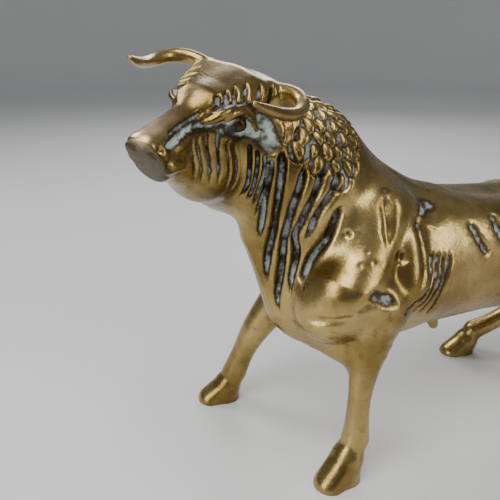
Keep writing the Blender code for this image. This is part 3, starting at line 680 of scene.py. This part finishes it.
# The hollow of the ear's shell, in head lengths.
EAR_HOLLOW = ((-0.005, 0.345, -0.19), (0.040, 0.405, -0.26), (0.070, 0.405, -0.35))
EAR_HOLLOW_WIDTH = 0.012
EAR_HOLLOW_DEPTH = 0.016

# Guide lines of the neck's folds on the left side; the right side mirrors them.
FOLDS = (
    ((-0.372, -0.210, 1.095), (-0.386, -0.178, 1.024), (-0.400, -0.140, 0.941), (-0.401, -0.095, 0.835),
     (-0.395, -0.060, 0.715), (-0.406, -0.056, 0.606), (-0.388, -0.055, 0.518)),
    ((-0.312, -0.205, 1.075), (-0.332, -0.183, 1.014), (-0.361, -0.148, 0.926), (-0.376, -0.114, 0.839),
     (-0.356, -0.092, 0.783), (-0.364, -0.082, 0.690), (-0.372, -0.098, 0.600)),
    ((-0.250, -0.180, 1.050), (-0.282, -0.177, 0.993), (-0.329, -0.173, 0.916), (-0.353, -0.124, 0.810)),
    ((-0.256, -0.165, 0.945), (-0.269, -0.161, 0.905), (-0.290, -0.152, 0.832), (-0.319, -0.124, 0.767),
     (-0.339, -0.121, 0.702), (-0.362, -0.170, 0.640)),
    ((-0.445, -0.180, 1.125), (-0.443, -0.162, 1.071), (-0.440, -0.133, 0.986), (-0.432, -0.080, 0.849),
     (-0.437, -0.043, 0.734), (-0.426, -0.036, 0.632)),
    ((-0.483, -0.165, 1.085), (-0.481, -0.142, 1.024), (-0.479, -0.101, 0.912), (-0.463, -0.040, 0.807)),
)
FOLD_WIDTH = 0.0115
FOLD_DEPTH = 0.028
FOLD_FADES = (0.15, 0.30)

# The strokes behind the foreleg and those on the ribs, from a front guide line to a back one.
FLANK_LINES = (
    ((0.05, -0.23, 0.78), (0.03, -0.26, 0.70), (-0.02, -0.28, 0.64), (-0.10, -0.30, 0.60)),
    ((0.12, -0.23, 0.77), (0.09, -0.25, 0.67), (0.07, -0.25, 0.60), (0.05, -0.23, 0.54)),
)
FLANK_STROKES = 4
FLANK_WIDTH = 0.008
FLANK_DEPTH = 0.014
RIB_LINES = (
    ((0.21, -0.19, 0.84), (0.24, -0.21, 0.78), (0.28, -0.22, 0.72)),
    ((0.31, -0.18, 0.86), (0.32, -0.20, 0.80), (0.35, -0.22, 0.75)),
)
RIB_STROKES = 2
RIB_WIDTH = 0.010
RIB_DEPTH = 0.012

# The shoulder: three upright ridges and the hollows between, behind and below them.
SHOULDER_RIDGES = (
    ((-0.230, -0.164, 1.040), (-0.216, -0.173, 0.980), (-0.215, -0.200, 0.880), (-0.225, -0.240, 0.790)),
    ((-0.075, -0.155, 0.985), (-0.080, -0.180, 0.940), (-0.088, -0.206, 0.898), (-0.110, -0.245, 0.815)),
    ((-0.040, -0.190, 0.910), (-0.045, -0.236, 0.805), (-0.055, -0.265, 0.736), (-0.090, -0.290, 0.660)),
)
RIDGE_WIDTHS = (0.055, 0.042, 0.052)
RIDGE_RISE = 0.007
SHOULDER_HOLLOWS = (
    ((-0.112, -0.170, 0.955), (-0.118, -0.190, 0.915), (-0.122, -0.210, 0.865), (-0.138, -0.245, 0.800)),
    ((-0.076, -0.225, 0.800), (-0.080, -0.240, 0.745)),
    ((0.110, -0.130, 0.905), (0.020, -0.180, 0.893), (-0.006, -0.213, 0.860), (0.000, -0.233, 0.817),
     (0.002, -0.259, 0.753), (-0.020, -0.284, 0.690), (-0.080, -0.302, 0.618)),
    ((-0.278, -0.296, 0.640), (-0.238, -0.307, 0.662), (-0.189, -0.291, 0.680), (-0.152, -0.301, 0.665),
     (-0.110, -0.307, 0.630)),
    ((-0.379, -0.130, 0.585), (-0.344, -0.237, 0.600), (-0.286, -0.284, 0.610), (-0.254, -0.303, 0.640)),
    ((0.060, -0.165, 0.880), (0.035, -0.213, 0.855), (0.038, -0.233, 0.810), (0.038, -0.259, 0.745),
     (0.010, -0.275, 0.690)),
)
HOLLOW_WIDTHS = (0.017, 0.016, 0.013, 0.022, 0.018, 0.042)
HOLLOW_DEPTHS = (0.011, 0.008, 0.009, 0.012, 0.013, 0.012)
SHOULDER_FADES = (0.3, 0.3)
# Round dents of the shoulder: x, y, z, radius and depth.
SHOULDER_DENTS = (
    (-0.243, -0.20, 0.855, 0.010, 0.010),
    (0.045, -0.16, 0.900, 0.034, 0.008),
)


def shoulder_relief(points, groups):
    """The soft ridges and hollows of the shoulder."""
    relief = np.zeros(len(points))
    for ridge, width in zip(SHOULDER_RIDGES, RIDGE_WIDTHS):
        relief -= groove(points, groups, ridge, width, RIDGE_RISE, fades=SHOULDER_FADES)
    for hollow, width, depth in zip(SHOULDER_HOLLOWS, HOLLOW_WIDTHS, HOLLOW_DEPTHS):
        relief += groove(points, groups, hollow, width, depth, fades=SHOULDER_FADES)
    return relief


def carving(points, groups):
    """How far each point moves along its normal for the cut grooves and raised locks."""
    carved = face_grooves(points, groups) + face_band(points, groups) + muzzle_carving(points)
    carved += mane(points, groups)
    for group in [ears()] + eyes() + horns():
        gap, _ = group_distance(points, group)
        carved = carved * step_up(gap, 0.001, 0.010)
    for fold in FOLDS:
        carved += groove(points, groups, fold, FOLD_WIDTH, FOLD_DEPTH, fades=FOLD_FADES)
    carved += strokes_between(points, groups, FLANK_LINES, FLANK_STROKES, FLANK_WIDTH, FLANK_DEPTH)
    carved += strokes_between(points, groups, RIB_LINES, RIB_STROKES, RIB_WIDTH, RIB_DEPTH)
    carved += groove(points, groups, EAR_HOLLOW, EAR_HOLLOW_WIDTH, EAR_HOLLOW_DEPTH, placed=face_places)
    return carved + dents(points, groups, SHOULDER_DENTS)


# The crisp lower edge of the bridge of the nose, in head lengths.
BRIDGE_EDGE = ((0.880, 0.075, -0.015), (0.800, 0.078, -0.010), (0.720, 0.082, -0.005), (0.630, 0.090, 0.000),
               (0.560, 0.100, 0.005))
BRIDGE_WIDTH = 0.007
BRIDGE_DEPTH = 0.008

# The mould's seam: along the back on the left, and down the middle of the chest.
BACK_SEAM = ((-0.032, -0.060, 1.009), (0.021, -0.065, 0.973), (0.149, -0.070, 0.918), (0.240, -0.135, 0.881),
             (0.359, -0.150, 0.862))
CHEST_SEAM = ((-0.510, -0.015, 0.841), (-0.462, -0.021, 0.712), (-0.400, -0.030, 0.560),
              (-0.340, -0.046, 0.443))
SEAM_WIDTH = 0.0065
SEAM_RISE = 0.0045

# Small scratches and pits on the shoulder: x, y, z, radius and depth.
SCRATCHES = (
    (-0.228, -0.256, 0.773, 0.009, 0.0030),
    (-0.208, -0.260, 0.769, 0.010, 0.0025),
    (-0.186, -0.262, 0.775, 0.008, 0.0035),
    (-0.165, -0.265, 0.771, 0.009, 0.0025),
    (-0.205, -0.255, 0.812, 0.005, 0.0030),
)


def fine_relief(points, groups):
    """The crisp edge of the nose, the mould seams and the small scratches, which the solid leaves out."""
    fine = groove(points, groups, BRIDGE_EDGE, BRIDGE_WIDTH, BRIDGE_DEPTH, placed=face_places)
    for seam in (BACK_SEAM, CHEST_SEAM):
        fine -= groove(points, groups, seam, SEAM_WIDTH, SEAM_RISE)
    return fine + dents(points, groups, SCRATCHES)


# How strongly the film gathers in each kind of hollow, and its width where that isn't the groove's.
FACE_FILM = 1.2
BRIDGE_FILM = 0.7
BRIDGE_FILM_WIDTH = 0.009
MANE_FILM = 0.75
RIB_FILM_WIDTH = 0.012
FOLD_FILM_FADES = (0.2, 0.2)
BAND_FILM = 0.8
SPOT_FILM = 0.9
# Patches of deposit off the grooves: x, y, z, radius and strength.
TARNISHED_SPOTS = (
    (-0.215, -0.258, 0.770, 0.013, 0.35),
    (-0.170, -0.262, 0.773, 0.013, 0.35),
    (0.090, -0.140, 0.905, 0.026, 0.9),
    (0.055, -0.155, 0.905, 0.030, 1.0),
    (0.020, -0.180, 0.890, 0.026, 0.9),
    (-0.003, -0.215, 0.850, 0.020, 0.8),
    (-0.108, -0.165, 0.960, 0.018, 0.9),
    (-0.192, -0.290, 0.680, 0.026, 0.9),
    (-0.150, -0.298, 0.664, 0.024, 0.85),
    (-0.076, -0.235, 0.775, 0.014, 0.6),
    (-0.243, -0.200, 0.855, 0.010, 0.8),
)


def band_share(points, groups):
    """1 in the sunk band across the face and round the eye, 0 outside it."""
    share = np.zeros(len(points))
    for side in (1, -1):
        gap, half = band_gap(points, groups, side)
        share = np.maximum(share, step_up(half * 1.15 - gap, -0.016, 0.022))
    return share


def tarnish_depth(points, groups):
    """How deep each place lies in a groove, as a share of the groove's own depth."""
    films = [
        -BRIDGE_FILM * groove(points, groups, BRIDGE_EDGE, BRIDGE_FILM_WIDTH, 1.0, placed=face_places),
        -MANE_FILM * mane(points, groups) / LOCK_GROOVE,
        -strokes_between(points, groups, FLANK_LINES, FLANK_STROKES, FLANK_WIDTH, 1.0),
        -strokes_between(points, groups, RIB_LINES, RIB_STROKES, RIB_FILM_WIDTH, 1.0),
        BAND_FILM * band_share(points, groups),
        -SPOT_FILM * dents(points, groups, TARNISHED_SPOTS),
    ]
    for fold in FOLDS:
        films.append(-groove(points, groups, fold, FOLD_WIDTH, 1.0, fades=FOLD_FILM_FADES))
    deep = -FACE_FILM * face_grooves(points, groups) / JAW_DEPTH
    for film in films:
        deep = np.maximum(deep, film)
    for group in eyes() + horns():
        gap, _ = group_distance(points, group)
        deep = deep * step_up(gap, 0.000, 0.006)
    return np.clip(deep, 0, 1)


# The darkest painted shade, in head lengths: along, outward and up.
UNDER_CHEEK = ((0.29, 0.20, -0.285), (0.22, 0.24, -0.320), (0.18, 0.30, -0.330), (0.13, 0.37, -0.330))
UNDER_CHEEK_WIDTH = 0.035
UNDER_CHEEK_SHARE = 0.9
DARK_EYE_RADIUS = 0.070
THROAT_SHARE = 0.5


def painted_shade_places(points):
    """Painted shade, darkest on the flat front of the muzzle, the eyes, under each cheek and on the throat.
    """
    along, out, up = head_places(points)
    places = np.stack([along, out, up], axis=1)
    near = step_up(0.55 - out, 0, 0.05) * step_up(up + 1.0, 0, 0.2)
    front = step_up(along - 0.5 * (up + 0.04), 0.985, 1.010) * step_up(-up, 0.02, 0.05)
    eye = step_up(DARK_EYE_RADIUS - np.linalg.norm(places - np.array(EYEBALL), axis=1), 0.0, 0.02)
    gap, _ = near_route(places, curve_points(UNDER_CHEEK, 3))
    under = UNDER_CHEEK_SHARE * np.exp(-(gap / UNDER_CHEEK_WIDTH) ** 2)
    throat = THROAT_SHARE * step_up(-up, 0.35, 0.60) * step_up(along, 0.20, 0.40)
    return np.clip(near * (front + eye + under + throat), 0, 1)


LEAST_CRUST = 0.55
BRIDGE_HALF_WIDTH = 0.075


def verdigris(points, groups):
    """How strongly each place gathers pale green deposit: most round the eye, least behind the shoulder."""
    behind = step_up(points[:, 0], 0.0, 0.25)
    return np.maximum(LEAST_CRUST, band_share(points, groups)) * (1 - 0.4 * behind)


def pale_nose(points):
    """The bleached film along the bridge of the nose and over the forehead."""
    along, out, up = head_places(points)
    on_top = step_up(up + 0.06, 0, 0.05)
    return on_top * step_up(BRIDGE_HALF_WIDTH - out, 0, 0.06) * step_up(along, 0.02, 0.2)


# Where the finer mesh is needed, as shares of WITHERS: everything ahead of x and above z.
CARVED_FROM = ((0.16, 0.46), (-0.20, 0.97))


def split_ahead_of(mesh, x, z):
    """Quarters the faces that lie ahead of x and above z."""
    builder = bmesh.new()
    builder.from_mesh(mesh)
    carved = [face for face in builder.faces
              if face.calc_center_median().x < x and face.calc_center_median().z > z]
    edges = {edge for face in carved for edge in face.edges}
    bmesh.ops.subdivide_edges(builder, edges=list(edges), cuts=1, use_grid_fill=True)
    bmesh.ops.triangulate(builder, faces=[face for face in builder.faces if len(face.verts) > 4])
    builder.to_mesh(mesh)
    builder.free()


def thin_out(item, triangles):
    """Merges triangles where the surface is plain until the wanted number is left."""
    count = sum(len(face.vertices) - 2 for face in item.data.polygons)
    thin = item.modifiers.new("thin", "DECIMATE")
    thin.ratio = min(1.0, triangles / count)
    thinned = with_modifiers(item)
    item.modifiers.clear()
    item.data = thinned


def cut_soles(mesh):
    """Cuts the hooves level with the ground and closes each sole."""
    builder = bmesh.new()
    builder.from_mesh(mesh)
    everything = list(builder.verts) + list(builder.edges) + list(builder.faces)
    bmesh.ops.bisect_plane(builder, geom=everything, plane_co=(0, 0, 0), plane_no=(0, 0, 1),
                           clear_inner=True)
    rim = [edge for edge in builder.edges if edge.is_boundary]
    for vertex in {vertex for edge in rim for vertex in edge.verts}:
        vertex.co.z = 0
    bmesh.ops.holes_fill(builder, edges=rim, sides=0)
    bmesh.ops.triangulate(builder, faces=[face for face in builder.faces if len(face.verts) > 4])
    builder.to_mesh(mesh)
    builder.free()


def store(mesh, name, values):
    """Keeps one number for each vertex, for the material to read."""
    layer = mesh.attributes.new(name, "FLOAT", "POINT")
    layer.data.foreach_set("value", np.ascontiguousarray(values, dtype=np.float32))


def bull_piece():
    """The figure, carved, tinted by region and set where its solid stands."""
    groups = all_groups()
    form = rough_form(groups, BODY_VOXEL)
    points = press_onto_form(vertex_array(form), groups)
    for x, z in CARVED_FROM:
        form.vertices.foreach_set("co", points.ravel())
        split_ahead_of(form, x, z)
        points = press_onto_form(vertex_array(form), groups, rounds=1)
    _, normals = distance(points, groups)
    normals = normals / np.linalg.norm(normals, axis=1)[:, None]
    carved = carving(points, groups)
    store(form, "hollow", tarnish_depth(points, groups))
    store(form, "verdigris", verdigris(points, groups))
    store(form, "pale", pale_nose(points))
    # The dark layer holds painted shade: the muzzle's front, the eyes, under the cheeks and the throat.
    store(form, "dark", painted_shade_places(points))
    carved = carved + shoulder_relief(points, groups) + fine_relief(points, groups)
    points = points + normals * carved[:, None]
    form.vertices.foreach_set("co", (points * WITHERS).ravel())
    form.update()
    piece = show("bull_cast", form)
    thin_out(piece, TRIANGLES)
    cut_soles(piece.data)
    low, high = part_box("bull")
    made = vertex_array(piece.data)
    middle = (made.min(axis=0) + made.max(axis=0)) / 2
    shift = (np.array(low) + np.array(high)) / 2 - middle
    shift[2] = 0
    piece.data.vertices.foreach_set("co", (made + shift).ravel())
    for face in piece.data.polygons:
        face.use_smooth = True
    piece.data.update()
    return piece, Vector(shift)


def node(tree, kind, values=None, **settings):
    """A shader node with its settings and the values of its inputs."""
    made = tree.nodes.new(kind)
    for name, value in settings.items():
        setattr(made, name, value)
    for name, value in (values or {}).items():
        made.inputs[name].default_value = value
    return made


def feed(tree, socket, value):
    """Sets a socket to a number or a colour, or links it to another node's output."""
    if isinstance(value, (int, float)):
        socket.default_value = value
    elif isinstance(value, tuple):
        socket.default_value = (*value, 1)
    else:
        tree.links.new(value, socket)


def attribute(tree, name):
    """A number kept for each vertex."""
    return node(tree, "ShaderNodeAttribute", attribute_name=name).outputs["Fac"]


def noise(tree, place, scale, detail=4.0, rough=0.55):
    """Soft random clouds, the finer the greater the scale."""
    made = node(tree, "ShaderNodeTexNoise", {"Scale": scale, "Detail": detail, "Roughness": rough})
    tree.links.new(place, made.inputs["Vector"])
    return made.outputs["Fac"]


def combine(tree, operation, first, second):
    """A sum or product of two values."""
    made = node(tree, "ShaderNodeMath", operation=operation)
    feed(tree, made.inputs[0], first)
    feed(tree, made.inputs[1], second)
    return made.outputs[0]


def plus(tree, first, second):
    return combine(tree, "ADD", first, second)


def times(tree, first, second):
    return combine(tree, "MULTIPLY", first, second)


def step(tree, value, low, high):
    """A smooth step from 0 at low to 1 at high."""
    made = node(tree, "ShaderNodeMapRange", {"From Min": low, "From Max": high},
                interpolation_type="SMOOTHSTEP")
    tree.links.new(value, made.inputs["Value"])
    return made.outputs["Result"]


def mix_colour(tree, share, first, second):
    """The first colour where the share is 0 and the second where it is 1."""
    made = node(tree, "ShaderNodeMix", data_type="RGBA")
    for index, value in ((0, share), (6, first), (7, second)):
        feed(tree, made.inputs[index], value)
    return made.outputs[2]


def mix_number(tree, share, first, second):
    """The first number where the share is 0 and the second where it is 1."""
    made = node(tree, "ShaderNodeMix", data_type="FLOAT")
    for index, value in ((0, share), (2, first), (3, second)):
        feed(tree, made.inputs[index], value)
    return made.outputs[0]


BRASS_DEEP = (0.215, 0.145, 0.042)
BRASS_BRIGHT = (0.46, 0.335, 0.130)
BRASS_BROWN = (0.16, 0.085, 0.022)
BLEACHED = (0.780, 0.585, 0.429)
# This near-black serves both as real grime in the hollows and as painted shade over the muzzle, eyes, cheeks
# and throat.
GRIME_AND_SHADE = (0.030, 0.020, 0.012)
DEPOSIT_GREY = (0.29, 0.305, 0.32)
DEPOSIT_GREEN = (0.46, 0.54, 0.48)

# How fine each pattern of the surface is, from broad clouds to the grain of the casting.
CLOUD_SCALE = 24.0
PATCH_SCALE = 60.0
MOTTLE_SCALE = 150.0
PIT_SCALE = 240.0
GRAIN_SCALE = 700.0

# Shares of one colour laid over another, and roughnesses from polished metal to crust.
FILM_SHARE = 0.6
BLEACHED_SHARE = 0.5
DIRTY_SHARE = 0.85
POLISHED = 0.17
POLISH_SPREAD = 0.20
SATIN = 0.40
DULL = 0.50
CRUSTY = 0.80


def metal_colour(tree, clouds, mottle, bleached):
    """Two tones of brass in soft clouds, browner in patches and bleached along the nose."""
    colour = mix_colour(tree, step(tree, clouds, 0.35, 0.65), BRASS_DEEP, BRASS_BRIGHT)
    film = times(tree, step(tree, mottle, 0.50, 0.80), FILM_SHARE)
    colour = mix_colour(tree, film, colour, BRASS_BROWN)
    return mix_colour(tree, times(tree, bleached, BLEACHED_SHARE), colour, BLEACHED)


def deposit_colour(tree, mottle, grain, crust):
    """Blue-grey to pale green, broken up by dark gaps."""
    green = step(tree, plus(tree, grain, plus(tree, crust, -0.6)), 0.35, 0.85)
    deposit = mix_colour(tree, green, DEPOSIT_GREY, DEPOSIT_GREEN)
    return mix_colour(tree, step(tree, mottle, 0.40, 0.58), GRIME_AND_SHADE, deposit)


def cast_surface(tree, place, mottle, grain):
    """The fine unevenness of the casting, with patches of small pits, as a normal."""
    pits = node(tree, "ShaderNodeTexVoronoi", {"Scale": PIT_SCALE})
    tree.links.new(place, pits.inputs["Vector"])
    patches = step(tree, noise(tree, place, PATCH_SCALE), 0.40, 0.60)
    pit = times(tree, step(tree, pits.outputs["Distance"], 0.02, 0.20), patches)
    height = plus(tree, times(tree, grain, 0.5), times(tree, pit, 0.4))
    height = plus(tree, height, times(tree, mottle, 0.6))
    bump = node(tree, "ShaderNodeBump", {"Strength": 0.30, "Distance": 0.0006})
    tree.links.new(height, bump.inputs["Height"])
    return bump.outputs["Normal"]


def new_material(name):
    """A material with its node tree, its shader and the place on the object."""
    material = bpy.data.materials.new(name)
    material.use_nodes = True
    tree = material.node_tree
    return material, tree, tree.nodes["Principled BSDF"], node(tree, "ShaderNodeTexCoord").outputs["Object"]


def tarnished_brass_with_painted_shade():
    """Polished brass that is brown in shallow hollows and crusted grey-green in deep ones, with painted
    shade darkening the muzzle, the eyes, under the cheeks and the throat.
    """
    material, tree, shader, place = new_material("tarnished_brass_with_painted_shade")
    crust = attribute(tree, "verdigris")
    clouds = noise(tree, place, CLOUD_SCALE)
    mottle = noise(tree, place, MOTTLE_SCALE)
    grain = noise(tree, place, GRAIN_SCALE, detail=3.0)

    wander = times(tree, plus(tree, mottle, -0.5), 0.7)
    speckle = times(tree, plus(tree, grain, -0.5), 0.5)
    depth = plus(tree, plus(tree, attribute(tree, "hollow"), wander), speckle)
    bleached = times(tree, attribute(tree, "pale"), step(tree, clouds, 0.30, 0.62))
    dirty = times(tree, step(tree, depth, 0.12, 0.50), DIRTY_SHARE)
    crusted = step(tree, plus(tree, depth, times(tree, crust, 0.15)), 0.60, 1.00)
    # Painted shade: the dark layer turns the muzzle's front, the eyes, the cheeks' undersides and the throat
    # near-black.
    painted_shade = times(tree, attribute(tree, "dark"), mix_number(tree, mottle, 1.0, 0.7))

    colour = mix_colour(tree, dirty, metal_colour(tree, clouds, mottle, bleached), GRIME_AND_SHADE)
    colour = mix_colour(tree, crusted, colour, deposit_colour(tree, mottle, grain, crust))
    colour = mix_colour(tree, painted_shade, colour, GRIME_AND_SHADE)
    rough = plus(tree, POLISHED, times(tree, mottle, POLISH_SPREAD))
    rough = mix_number(tree, bleached, rough, SATIN)
    rough = mix_number(tree, dirty, rough, DULL)
    rough = mix_number(tree, crusted, rough, CRUSTY)
    tree.links.new(colour, shader.inputs["Base Color"])
    tree.links.new(mix_number(tree, crusted, 1.0, 0.1), shader.inputs["Metallic"])
    tree.links.new(rough, shader.inputs["Roughness"])
    tree.links.new(cast_surface(tree, place, mottle, grain), shader.inputs["Normal"])
    return material


# The floor sweeps up at its edge: flat out to this radius, then an arc and a low wall.
FLOOR_FLAT = 2.2
FLOOR_BEND = 0.9
FLOOR_WALL = 1.6
FLOOR_ARC_STEPS = 12
FLOOR_TURNS = 72
FLOOR_TONES = ((0.60, 0.60, 0.595), (0.64, 0.64, 0.635))
FLOOR_CLOUDS = 3.0
FLOOR_ROUGHNESS = 0.55


def floor():
    """A wide plain pale floor at the level of the soles, with its edge swept up."""
    profile = [(0.0, 0.0)]
    for index in range(FLOOR_ARC_STEPS + 1):
        angle = math.pi / 2 * index / FLOOR_ARC_STEPS
        profile.append((FLOOR_FLAT + FLOOR_BEND * math.sin(angle), FLOOR_BEND * (1 - math.cos(angle))))
    profile.append((FLOOR_FLAT + FLOOR_BEND, FLOOR_WALL))
    builder = bmesh.new()
    points = [builder.verts.new((radius, 0, height)) for radius, height in profile]
    edges = [builder.edges.new(pair) for pair in zip(points, points[1:])]
    bmesh.ops.spin(builder, geom=points + edges, cent=(0, 0, 0), axis=(0, 0, 1), angle=2 * math.pi,
                   steps=FLOOR_TURNS)
    bmesh.ops.remove_doubles(builder, verts=list(builder.verts), dist=0.0001)
    bmesh.ops.recalc_face_normals(builder, faces=list(builder.faces))
    mesh = bpy.data.meshes.new("floor")
    builder.to_mesh(mesh)
    builder.free()
    for face in mesh.polygons:
        face.use_smooth = True
    mesh.materials.append(pale_plaster())
    ground = show("floor", mesh)


def pale_plaster():
    """The floor's plain pale colour, in very soft clouds."""
    material, tree, shader, place = new_material("pale_floor")
    tone = mix_colour(tree, noise(tree, place, FLOOR_CLOUDS), *FLOOR_TONES)
    tree.links.new(tone, shader.inputs["Base Color"])
    shader.inputs["Roughness"].default_value = FLOOR_ROUGHNESS
    return material


# Each light: its name, place, target, width, height and power.
LIGHTS = (
    ("overhead", (-0.30, -0.35, 1.05), (-0.03, 0, 0.14), 0.55, 0.9, 9.5),
    ("left_side", (-1.1, -0.35, 0.55), (-0.05, 0, 0.14), 0.5, 0.9, 7.0),
    ("right_side", (0.75, -1.0, 0.60), (0.0, 0, 0.12), 0.35, 0.9, 5.0),
    ("back", (0.5, 1.0, 0.8), (0, 0, 0.15), 0.6, 0.6, 5.0),
    ("far_top", (-0.45, 0.75, 0.95), (-0.10, 0, 0.22), 0.45, 0.45, 5.0),
)
ROOM_COLOUR = (0.80, 0.82, 0.85, 1)
ROOM_LIGHT = 0.36


def area_light(name, place, target, width, height, power):
    """A soft rectangular light that faces its target."""
    lamp = bpy.data.lights.new(name, "AREA")
    lamp.shape = "RECTANGLE"
    lamp.size = width
    lamp.size_y = height
    lamp.energy = power
    item = show(name, lamp)
    item.location = place
    item.rotation_euler = (Vector(target) - Vector(place)).to_track_quat("-Z", "Y").to_euler()


def studio_light():
    """Large soft lights overhead, at both sides and behind, and a dim room."""
    for light in LIGHTS:
        area_light(*light)
    world = bpy.data.worlds.new("room")
    world.use_nodes = True
    background = world.node_tree.nodes["Background"]
    background.inputs["Color"].default_value = ROOM_COLOUR
    background.inputs["Strength"].default_value = ROOM_LIGHT
    bpy.context.scene.world = world


# The camera, in shares of WITHERS from the point under the withers, its heading and its tilt.
CAMERA_PLACE = (-1.1162, -1.6627, 1.4475)
CAMERA_HEADING = math.radians(69.0)
CAMERA_TILT = math.radians(20.97)
# Focal length and sensor width in millimetres, and the nearest distance shown, in metres.
CAMERA_LENS = 43.2
CAMERA_SENSOR = 36
CAMERA_NEAR = 0.01


def camera(shift):
    """The photograph's camera. The shift is the same that set the figure where its solid stands."""
    data = bpy.data.cameras.new("camera")
    data.sensor_width = CAMERA_SENSOR
    data.lens = CAMERA_LENS
    data.clip_start = CAMERA_NEAR
    item = show("camera", data)
    item.location = Vector(CAMERA_PLACE) * WITHERS + shift
    item.rotation_euler = (math.pi / 2 - CAMERA_TILT, 0, CAMERA_HEADING - math.pi / 2)
    bpy.context.scene.camera = item


def main():
    """Builds the bull, its floor, its light and its camera."""
    piece, shift = bull_piece()
    piece.data.materials.append(tarnished_brass_with_painted_shade())
    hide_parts("bull")
    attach(piece, "root")
    floor()
    studio_light()
    camera(shift)


main()
